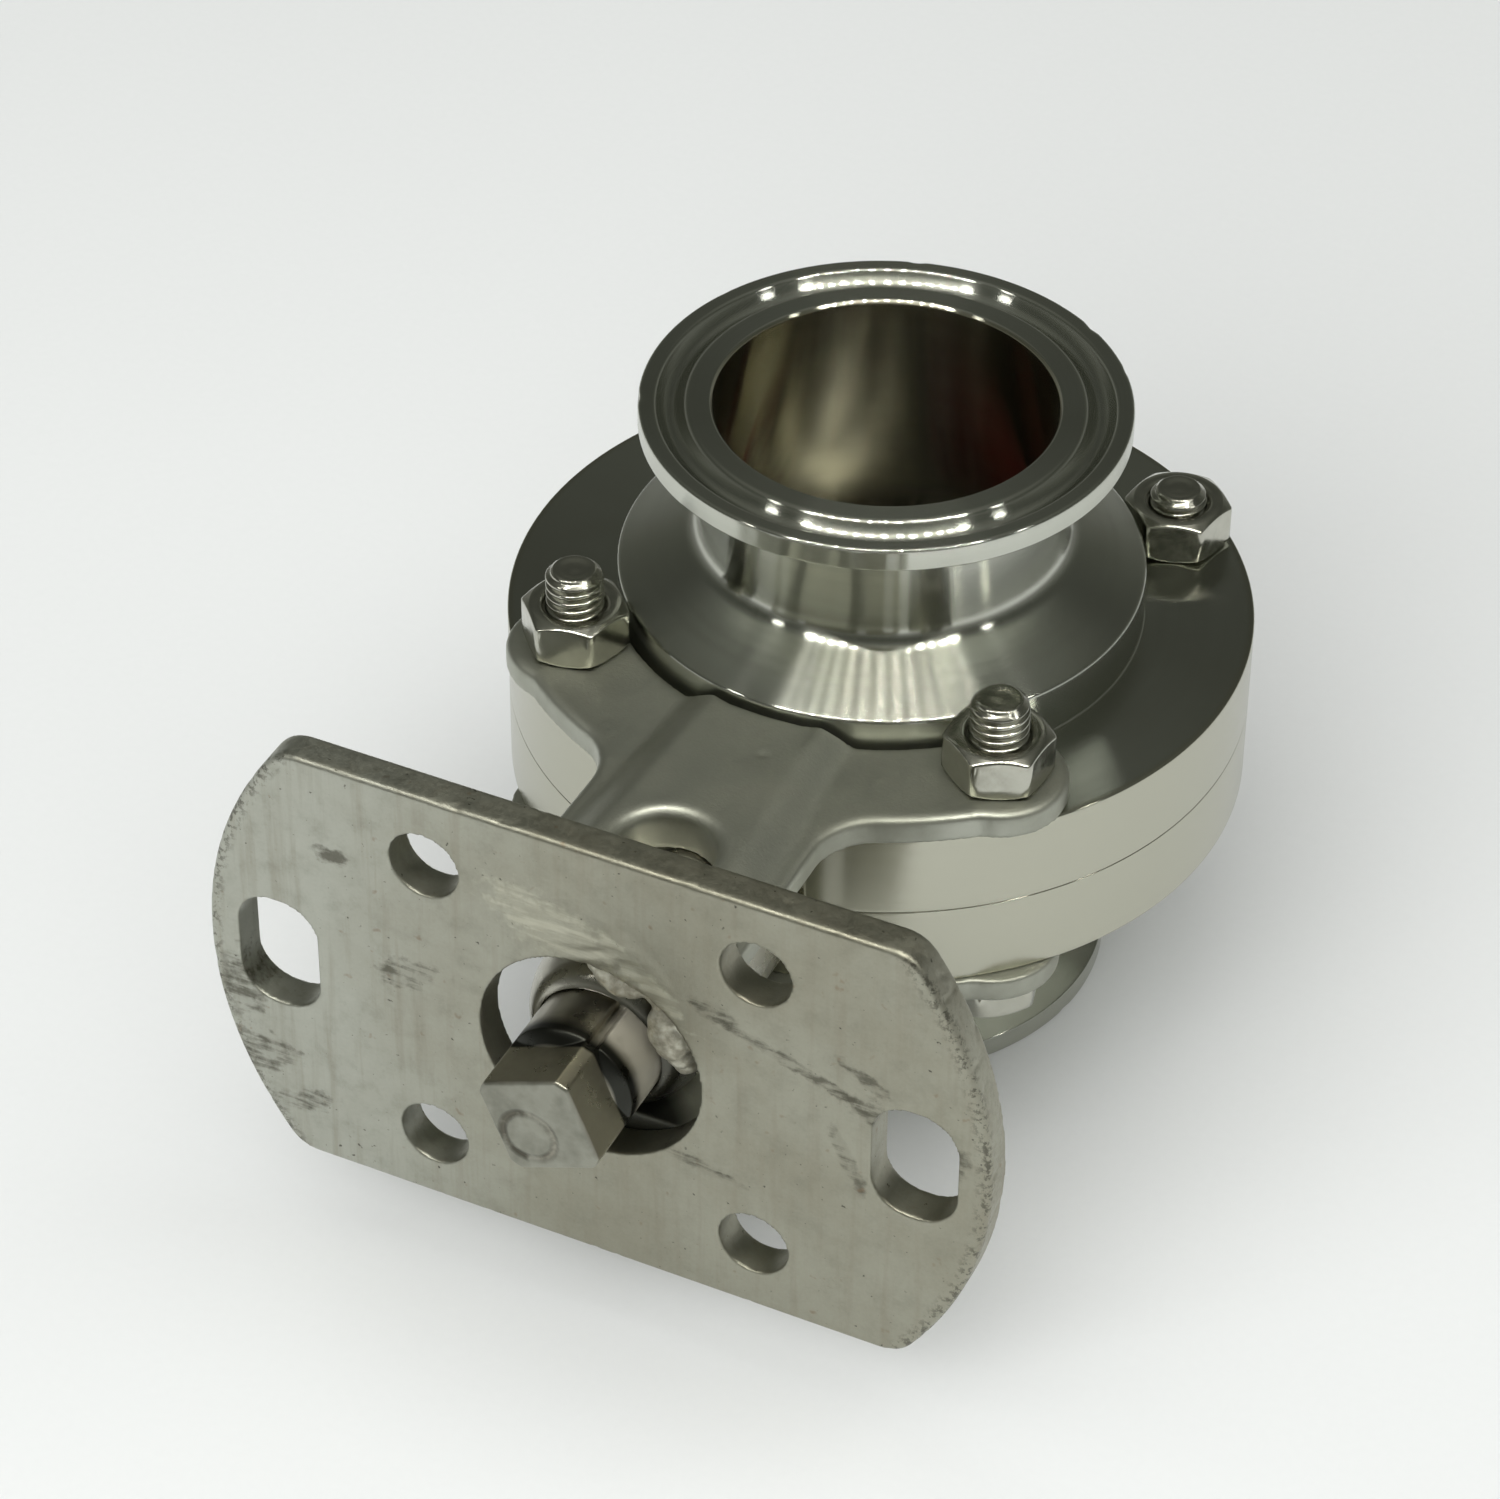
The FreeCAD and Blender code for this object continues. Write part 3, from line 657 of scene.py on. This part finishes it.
def grain(tree, vector, scale, detail=3.0, roughness=0.55):
    """Noise value, 0 to 1, of a given scale per metre."""
    made = add(tree, "TexNoise", {"Vector": vector, "Scale": scale, "Detail": detail, "Roughness": roughness})
    return made.outputs["Fac"]


def ranged(tree, value, low, high, to_low, to_high):
    """A value mapped from one range to another, and held at its ends."""
    made = add(tree, "MapRange", {"Value": value, "From Min": low, "From Max": high,
                                  "To Min": to_low, "To Max": to_high})
    return made.outputs["Result"]


def mixed(tree, factor, first, second):
    """Colour mix; each side is an RGB triple or a socket."""
    made = add(tree, "Mix", {"Factor": factor}, data_type="RGBA")
    for index, side in ((6, first), (7, second)):
        if isinstance(side, bpy.types.NodeSocket):
            tree.links.new(side, made.inputs[index])
        else:
            made.inputs[index].default_value = (*side, 1.0)
    return made.outputs[2]


def maths(tree, operation, first, second=0.0):
    """One arithmetic step between two values or sockets."""
    made = add(tree, "Math", {0: first, 1: second}, operation=operation)
    return made.outputs[0]


def part_of(tree, vector, axis):
    """One coordinate of a vector."""
    return add(tree, "SeparateXYZ", {"Vector": vector}).outputs[axis]


def reach_from(tree, place, point):
    """Distance of a place from a fixed point."""
    offset = add(tree, "VectorMath", {0: place, 1: point}, operation="SUBTRACT")
    return add(tree, "VectorMath", {0: offset.outputs[0]}, operation="LENGTH").outputs["Value"]


def finish(tree, shader, colour, roughness, height, distance):
    """Joins colour, roughness and bump to the shader."""
    tree.links.new(colour, shader.inputs["Base Color"])
    tree.links.new(roughness, shader.inputs["Roughness"])
    bump = add(tree, "Bump", {"Height": height, "Distance": distance, "Strength": 1.0})
    tree.links.new(bump.outputs["Normal"], shader.inputs["Normal"])


def lathe_vector(tree, place, axis):
    """Coordinates that are the same all round an axis: distance from it and height along it."""
    parts = add(tree, "SeparateXYZ", {"Vector": place})
    along = parts.outputs[axis]
    others = [name for name in "XYZ" if name != axis]
    flat = add(tree, "CombineXYZ", {"X": parts.outputs[others[0]], "Y": parts.outputs[others[1]]})
    radius = add(tree, "VectorMath", {0: flat.outputs[0]}, operation="LENGTH").outputs["Value"]
    return add(tree, "CombineXYZ", {"X": radius, "Y": along}).outputs[0]


def turned_steel():
    material, tree, shader, place = new_material("turned_steel", 0.2, anisotropic=1.0)
    shader.inputs["Anisotropic Rotation"].default_value = 0.25
    tangent = add(tree, "Tangent", direction_type="RADIAL", axis="Z")
    tree.links.new(tangent.outputs["Tangent"], shader.inputs["Tangent"])
    lathe = lathe_vector(tree, place, "Z")
    lines = grain(tree, lathe, 3800.0, 4.0, 0.7)
    bands = grain(tree, lathe, 900.0, 2.0)
    patches = grain(tree, place, 55.0, 4.0)
    tint = mixed(tree, ranged(tree, patches, 0.35, 0.7, 0.0, 1.0), (0.585, 0.60, 0.54), (0.50, 0.505, 0.44))
    tint = mixed(tree, ranged(tree, bands, 0.4, 0.7, 0.0, 0.35), tint, (0.45, 0.455, 0.40))
    rough = ranged(tree, maths(tree, "ADD", bands, patches), 0.7, 1.3, 0.15, 0.185)
    away = part_of(tree, lathe, "X")
    outside = ranged(tree, away, 17.7 * MM, 18.0 * MM, 0.12, 1.0)
    relief = maths(tree, "MULTIPLY", maths(tree, "ADD", lines, bands), outside)
    # Painted shade: inside the bore the colour is painted darker towards the middle of the body, deeper in
    # the bore.
    from_middle = maths(tree, "ABSOLUTE", maths(tree, "SUBTRACT", part_of(tree, lathe, "Y"), MID_Z))
    bore = mixed(tree, ranged(tree, from_middle, 9.0 * MM, 22.0 * MM, 0.0, 1.0),
                 (0.20, 0.19, 0.14), (0.50, 0.48, 0.37))
    tint = mixed(tree, outside, bore, tint)
    rim = ranged(tree, away, FLANGE_R - 0.8 * MM, FLANGE_R - 0.4 * MM, 0.0, 1.0)
    tint = mixed(tree, rim, tint, (0.48, 0.475, 0.395))
    finish(tree, shader, tint, rough, relief, 0.000002)
    return material


def polished_steel():
    material, tree, shader, place = new_material("polished_steel", 0.2)
    smears = grain(tree, place, 300.0, 4.0)
    tint = mixed(tree, smears, (0.46, 0.45, 0.39), (0.38, 0.365, 0.31))
    # Painted shade: the lower right of the sleeve's nose is painted nearly black, where it sits in shadow
    # inside the plate's hole.
    nose = ranged(tree, part_of(tree, place, "Y"), -SLEEVE_NOSE + 7.0 * MM, -SLEEVE_NOSE + 4.0 * MM, 0.0, 1.0)
    below = ranged(tree, maths(tree, "SUBTRACT", part_of(tree, place, "Z"), part_of(tree, place, "X")),
                   MID_Z + 4.0 * MM, MID_Z, 0.0, 1.0)
    nose_painted_shade = maths(tree, "MULTIPLY", maths(tree, "MULTIPLY", nose, below), 0.9)
    tint = mixed(tree, nose_painted_shade, tint, (0.05, 0.05, 0.042))
    rough = ranged(tree, smears, 0.3, 0.7, 0.24, 0.32)
    finish(tree, shader, tint, rough, grain(tree, place, 900.0), 0.000002)
    return material


def stem_steel():
    material, tree, shader, place = new_material("stem_steel", 0.3)
    stretch = add(tree, "Mapping", {"Vector": place, "Scale": (1.0, 0.12, 1.0)})
    lines = grain(tree, stretch.outputs[0], 2600.0, 3.0)
    smears = grain(tree, place, 420.0, 4.0)
    broken = grain(tree, place, 330.0, 4.0)
    tint = mixed(tree, smears, (0.44, 0.42, 0.35), (0.33, 0.31, 0.25))
    rough = ranged(tree, smears, 0.3, 0.7, 0.24, 0.4)
    depth = part_of(tree, place, "Y")
    end_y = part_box("drive_stem")[0][1]
    end = ranged(tree, depth, end_y + 0.5 * MM, end_y + 0.05 * MM, 0.0, 1.0)
    worn = ranged(tree, broken, 0.4, 0.65, 0.0, 1.0)
    dull = mixed(tree, worn, (0.33, 0.33, 0.28), (0.24, 0.24, 0.20))
    reach = reach_from(tree, place, (STAMP_PLACE[0], end_y, MID_Z + STAMP_PLACE[1]))
    from_ring = maths(tree, "ABSOLUTE", maths(tree, "SUBTRACT", reach, STAMP_R))
    ring = maths(tree, "MULTIPLY", ranged(tree, from_ring, 0.6 * MM, 0.15 * MM, 0.0, 1.0),
                 ranged(tree, broken, 0.42, 0.58, 0.15, 1.0))
    dull = mixed(tree, ring, dull, (0.035, 0.032, 0.022))
    # Painted shade: the heel where the square's flats run out into the round shaft is painted nearly black, a
    # painted dark reflection.
    heel_painted_shade = maths(tree, "MULTIPLY", ranged(tree, depth, end_y + 5.5 * MM, end_y + 5.8 * MM, 0.0, 1.0),
                 ranged(tree, depth, end_y + 7.4 * MM, end_y + 8.8 * MM, 1.0, 0.0))
    tint = mixed(tree, maths(tree, "MULTIPLY", heel_painted_shade, 0.95), tint, (0.02, 0.022, 0.02))
    flank = ranged(tree, part_of(tree, place, "X"), 2.0 * MM, 3.4 * MM, 0.0, 1.0)
    behind = maths(tree, "MULTIPLY", ranged(tree, depth, end_y + 7.6 * MM, end_y + 9.0 * MM, 0.0, 1.0),
                   ranged(tree, depth, end_y + 15.0 * MM, end_y + 17.0 * MM, 1.0, 0.0))
    splash = maths(tree, "MULTIPLY", maths(tree, "MULTIPLY", flank, behind),
                   ranged(tree, broken, 0.35, 0.55, 0.4, 1.0))
    tint = mixed(tree, splash, tint, (0.42, 0.395, 0.32))
    rough = maths(tree, "ADD", rough, maths(tree, "MULTIPLY", splash, 0.25))
    tree.links.new(ranged(tree, splash, 0.0, 1.0, 1.0, 0.35), shader.inputs["Metallic"])
    tint = mixed(tree, end, tint, dull)
    rough = maths(tree, "ADD", rough, maths(tree, "MULTIPLY", end, 0.18))
    finish(tree, shader, tint, rough, maths(tree, "ADD", lines, smears), 0.000008)
    return material


def cast_steel():
    material, tree, shader, place = new_material("cast_steel", 0.5)
    fine = grain(tree, place, 3400.0, 3.0)
    broad = grain(tree, place, 120.0, 5.0)
    tint = mixed(tree, ranged(tree, broad, 0.35, 0.68, 0.0, 1.0), (0.46, 0.47, 0.41), (0.36, 0.365, 0.31))
    # Painted shade: the legs are painted nearly black close round the stem's axis at the plate, where they
    # lie in shadow behind the plate's hole.
    reach = reach_from(tree, place, (0.0, PLATE_FRONT, MID_Z))
    tint = mixed(tree, ranged(tree, reach, 12.6 * MM, 14.2 * MM, 0.85, 0.0), tint, (0.07, 0.07, 0.06))
    rough = ranged(tree, broad, 0.3, 0.7, 0.42, 0.58)
    finish(tree, shader, tint, rough, fine, 0.00003)
    return material


def fastener_steel():
    material, tree, shader, place = new_material("fastener_steel", 0.17)
    smears = grain(tree, place, 700.0, 4.0)
    tint = mixed(tree, smears, (0.54, 0.54, 0.475), (0.42, 0.415, 0.355))
    rough = ranged(tree, smears, 0.3, 0.7, 0.12, 0.27)
    finish(tree, shader, tint, rough, smears, 0.00002)
    return material


def weld_steel():
    material, tree, shader, place = new_material("weld_steel", 0.42, metallic=0.75)
    smears = grain(tree, place, 900.0, 5.0)
    tint = mixed(tree, ranged(tree, smears, 0.35, 0.62, 0.0, 1.0), (0.46, 0.45, 0.37), (0.26, 0.245, 0.19))
    rough = ranged(tree, smears, 0.3, 0.7, 0.4, 0.58)
    finish(tree, shader, tint, rough, smears, 0.00008)
    return material


def blob(tree, place, centre, size, slope, edge=0.35):
    """Mask, 1 round a place on the plate and 0 beyond its size, a little smaller on the back."""
    offset = add(tree, "VectorMath", {0: place, 1: (centre[0] * MM, PLATE_FRONT, MID_Z + centre[1] * MM)},
                 operation="SUBTRACT")
    level = add(tree, "VectorRotate", {"Vector": offset.outputs[0], "Angle": math.radians(slope)},
                rotation_type="Y_AXIS")
    scaled = add(tree, "VectorMath", {0: level.outputs[0], 1: (1000.0 / size[0], 100.0, 1000.0 / size[1])},
                 operation="MULTIPLY")
    reach = add(tree, "VectorMath", {0: scaled.outputs[0]}, operation="LENGTH").outputs["Value"]
    broken = maths(tree, "ADD", reach, ranged(tree, grain(tree, place, 700.0, 4.0), 0.3, 0.7, -edge, edge))
    return ranged(tree, broken, 1.0, 0.6, 0.0, 1.0)


def plate_steel():
    material, tree, shader, place = new_material("plate_steel", 0.45)
    broad = grain(tree, place, 70.0, 5.0, 0.6)
    medium = grain(tree, place, 330.0, 5.0, 0.65)
    fine = grain(tree, place, 2400.0, 4.0, 0.7)
    upright = add(tree, "Mapping", {"Vector": place, "Scale": (1.0, 1.0, 0.06)})
    streaks = grain(tree, upright.outputs[0], 900.0, 4.0)
    sloped = add(tree, "Mapping", {"Vector": place, "Rotation": (0.0, math.radians(-22.0), 0.0),
                                   "Scale": (0.12, 1.0, 1.0)})
    scratches = grain(tree, sloped.outputs[0], 1500.0, 3.0)
    # Painted reflection: the plate's left part is painted paler, standing in for the brighter floor that it
    # reflects.
    across = maths(tree, "ADD", part_of(tree, place, "X"), maths(tree, "MULTIPLY", broad, 20.0 * MM))
    left_painted_reflection = ranged(tree, across, -18.0 * MM, 4.0 * MM, 1.0, 0.0)
    tint = mixed(tree, ranged(tree, broad, 0.40, 0.62, 0.0, 1.0), (0.36, 0.355, 0.29), (0.325, 0.315, 0.25))
    tint = mixed(tree, maths(tree, "MULTIPLY", left_painted_reflection, 0.8), tint, (0.475, 0.485, 0.43))
    tint = mixed(tree, ranged(tree, medium, 0.52, 0.74, 0.0, 0.35), tint, (0.29, 0.29, 0.235))
    tint = mixed(tree, ranged(tree, streaks, 0.50, 0.72, 0.0, 0.4), tint, (0.29, 0.27, 0.21))
    stain = ranged(tree, maths(tree, "MULTIPLY", medium, scratches), 0.20, 0.32, 0.15, 1.0)
    for centre, size, slope in STAINS:
        mask = maths(tree, "MULTIPLY", blob(tree, place, centre, size, slope), stain)
        tint = mixed(tree, maths(tree, "MULTIPLY", mask, 0.8), tint, (0.11, 0.105, 0.08))
    rust = ranged(tree, grain(tree, place, 620.0, 2.0), 0.70, 0.80, 0.0, 0.5)
    tint = mixed(tree, rust, tint, (0.22, 0.14, 0.08))
    specks = ranged(tree, grain(tree, place, 1300.0, 2.0), 0.70, 0.76, 0.0, 0.8)
    tint = mixed(tree, specks, tint, (0.06, 0.055, 0.045))
    reach = reach_from(tree, place, (0.0, PLATE_FRONT, MID_Z))
    front = ranged(tree, part_of(tree, place, "Y"), PLATE_FRONT + 0.3 * MM, PLATE_FRONT + 1.2 * MM, 1.0, 0.15)
    ends = maths(tree, "MULTIPLY", ranged(tree, reach, 40.6 * MM, 42.0 * MM, 0.0, 1.0), front)
    crumbs = ranged(tree, grain(tree, place, 1400.0, 4.0, 0.7), 0.50, 0.58, 0.0, 1.0)
    chips = maths(tree, "MULTIPLY", ends, crumbs)
    tint = mixed(tree, maths(tree, "MULTIPLY", chips, 0.8), tint, (0.10, 0.095, 0.075))
    ground = maths(tree, "MAXIMUM", blob(tree, place, *PATCH), blob(tree, place, *PATCH_RIM))
    shine = maths(tree, "MULTIPLY", ground, ranged(tree, scratches, 0.42, 0.62, 0.35, 1.0))
    tint = mixed(tree, maths(tree, "MULTIPLY", shine, 0.8), tint, (0.53, 0.52, 0.42))
    rough = ranged(tree, maths(tree, "ADD", medium, fine), 0.7, 1.3, 0.36, 0.56)
    height = maths(tree, "ADD", maths(tree, "ADD", medium, fine), maths(tree, "MULTIPLY", ground, scratches))
    finish(tree, shader, tint, rough, height, 0.00003)
    return material


def rubber(name, colour, dark):
    material, tree, shader, place = new_material(name, 0.5, metallic=0.0)
    fine = grain(tree, place, 1800.0)
    tint = mixed(tree, fine, colour, dark)
    finish(tree, shader, tint, ranged(tree, fine, 0.3, 0.7, 0.42, 0.6), fine, 0.00002)
    return material


def bush_plastic():
    material, tree, shader, place = new_material("bush_plastic", 0.4, metallic=0.0)
    lathe = grain(tree, lathe_vector(tree, place, "Y"), 2500.0)
    tint = mixed(tree, lathe, (0.82, 0.80, 0.74), (0.74, 0.71, 0.64))
    finish(tree, shader, tint, ranged(tree, lathe, 0.3, 0.7, 0.32, 0.5), lathe, 0.00001)
    return material


# ---------------------------------------------------------------- build

materials = {
    "turned_steel": turned_steel(), "polished_steel": polished_steel(), "stem_steel": stem_steel(),
    "cast_steel": cast_steel(), "plate_steel": plate_steel(), "weld_steel": weld_steel(),
    "fastener_steel": fastener_steel(), "bush_plastic": bush_plastic(),
    "seat_rubber": rubber("seat_rubber", (0.15, 0.012, 0.01), (0.10, 0.008, 0.006)),
    "seal_rubber": rubber("seal_rubber", (0.03, 0.03, 0.03), (0.015, 0.015, 0.015)),
}
for part in frame["record"]["subparts"]:
    node = nodes[part["node"]]
    node.data.materials.clear()
    node.data.materials.append(materials[part["material_slot"]])


def settle(piece, body, slot):
    """Gives a new piece its body, its material slot and its material."""
    piece.data.materials.clear()
    piece.data.materials.append(materials[slot])
    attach(piece, body)


for side in ("upper", "lower"):
    settle(body_half(side), BODY, "turned_steel")
for corner in CORNERS:
    settle(hex_nut(corner), BODY, "fastener_steel")
    settle(hex_bolt(corner), BODY, "fastener_steel")
settle(milled_stem(), MOVING, "stem_steel")
settle(worn_plate(), BODY, "plate_steel")
for side in ("upper", "lower"):
    settle(cast_leg(side), BODY, "cast_steel")
    settle(weld_bead(side), BODY, "weld_steel")
settle(sleeve_weld(), BODY, "weld_steel")
settle(domed_sleeve(), BODY, "polished_steel")


# ---------------------------------------------------------------- floor, lights and camera

def camera_axes(azimuth_deg, elevation_deg, roll_deg):
    """Direction back from the target and rotation of a camera at an azimuth and elevation."""
    azimuth = math.radians(azimuth_deg)
    elevation = math.radians(elevation_deg)
    back = Vector((math.sin(azimuth) * math.cos(elevation), -math.cos(azimuth) * math.cos(elevation),
                   math.sin(elevation)))
    turn = back.to_track_quat("Z", "Y").to_matrix()
    return back, turn @ Matrix.Rotation(math.radians(roll_deg), 3, "Z")


camera_data = bpy.data.cameras.new("camera")
camera_data.sensor_width = 36.0
camera_data.lens = CAMERA_LENS
camera_data.clip_start = 0.01
camera = link(bpy.data.objects.new("camera", camera_data))
bpy.context.scene.camera = camera
back, turn = camera_axes(CAMERA_AZIMUTH, CAMERA_ELEVATION, CAMERA_ROLL)
camera.matrix_world = Matrix.Translation(CAMERA_TARGET + back * CAMERA_DISTANCE) @ turn.to_4x4()

floor_mesh = bpy.data.meshes.new("floor")
floor_mesh.from_pydata([(-3, -3, 0), (3, -3, 0), (3, 3, 0), (-3, 3, 0)], [], [(0, 1, 2, 3)])
floor = link(bpy.data.objects.new("floor", floor_mesh))
paper, paper_tree, paper_shader, paper_place = new_material("paper", 0.7, metallic=0.0)
fibres = grain(paper_tree, paper_place, 900.0)
paper_tint = mixed(paper_tree, fibres, (0.82, 0.835, 0.83), (0.80, 0.815, 0.81))
paper_reach = add(paper_tree, "VectorMath", {0: paper_place}, operation="LENGTH").outputs["Value"]
paper_far = ranged(paper_tree, paper_reach, 0.45, 1.3, 0.0, 1.0)
paper_tint = mixed(paper_tree, paper_far, paper_tint, (0.16, 0.16, 0.155))
finish(paper_tree, paper_shader, paper_tint, ranged(paper_tree, fibres, 0.3, 0.7, 0.65, 0.8), fibres, 0.00001)
floor.data.materials.append(paper)


def area_light(name, place, size, power, colour=WHITE, reflected=True):
    """A disk light aimed at the valve, seen either in reflections only or not in them at all."""
    data = bpy.data.lights.new(name, "AREA")
    data.shape = "DISK"
    data.size = size
    data.energy = power
    data.color = colour
    lamp = link(bpy.data.objects.new(name, data))
    lamp.location = place
    direction = Vector(place) - Vector((0.0, 0.0, 0.03))
    lamp.rotation_euler = direction.to_track_quat("Z", "Y").to_euler()
    lamp.visible_glossy = reflected
    lamp.visible_diffuse = not reflected
    return lamp


right = Vector((math.cos(math.radians(CAMERA_AZIMUTH)), math.sin(math.radians(CAMERA_AZIMUTH)), 0.0))
nearer = Vector((right.y, -right.x, 0.0))


def overhead(across, towards, height=LIGHT_HEIGHT):
    """A place above the valve, across the view and towards the camera."""
    place = right * across + nearer * towards
    return place.x, place.y, height


for index in range(LED_COUNT):
    offset = (index - (LED_COUNT - 1) / 2.0) * LED_PITCH
    area_light("led_%02d" % index, overhead(offset, LED_TOWARDS), 0.008, 0.125, (1.0, 0.99, 0.92))
for hand, sign in (("left", -1.0), ("right", 1.0)):
    area_light("led_end_" + hand, overhead(sign * 0.26, 0.215), 0.04, 0.16, (1.0, 0.99, 0.95))
    area_light("led_side_" + hand, overhead(sign * 0.50, 0.22), 0.06, 0.16, (1.0, 0.99, 0.95))
panel = area_light("led_panel", overhead(0.0, 0.212, LIGHT_HEIGHT + 0.004), 0.50, 0.04, (1.0, 0.985, 0.95))
panel.data.shape = "RECTANGLE"
panel.data.size_y = 0.06
panel.rotation_euler = (0.0, 0.0, math.radians(CAMERA_AZIMUTH))
area_light("ceiling", (-0.10, -0.40, 1.0), 2.0, 12.8, reflected=False)
area_light("front", (-0.05, -1.1, 0.6), 1.2, 10.6, reflected=False)
area_light("back", (0.8, 0.35, 0.9), 1.2, 4.0, reflected=False)

world = bpy.data.worlds.new("world")
bpy.context.scene.world = world
world.use_nodes = True
sky = world.node_tree
direction = add(sky, "TexCoord").outputs["Generated"]
height = part_of(sky, direction, "Z")
ramp = add(sky, "ValToRGB", {"Fac": height})
stops = ramp.color_ramp.elements
stops[0].position = 0.0
stops[0].color = (0.24, 0.24, 0.225, 1.0)
stops[1].position = 1.0
stops[1].color = (0.175, 0.18, 0.16, 1.0)
for position, colour in ((0.16, (0.215, 0.22, 0.20, 1.0)), (0.36, (0.097, 0.102, 0.085, 1.0)),
                         (0.60, (0.067, 0.07, 0.06, 1.0)), (0.80, (0.14, 0.145, 0.125, 1.0))):
    stop = stops.new(position)
    stop.color = colour
sky.links.new(ramp.outputs["Color"], sky.nodes["Background"].inputs["Color"])
bpy.context.scene.view_settings.view_transform = "Standard"
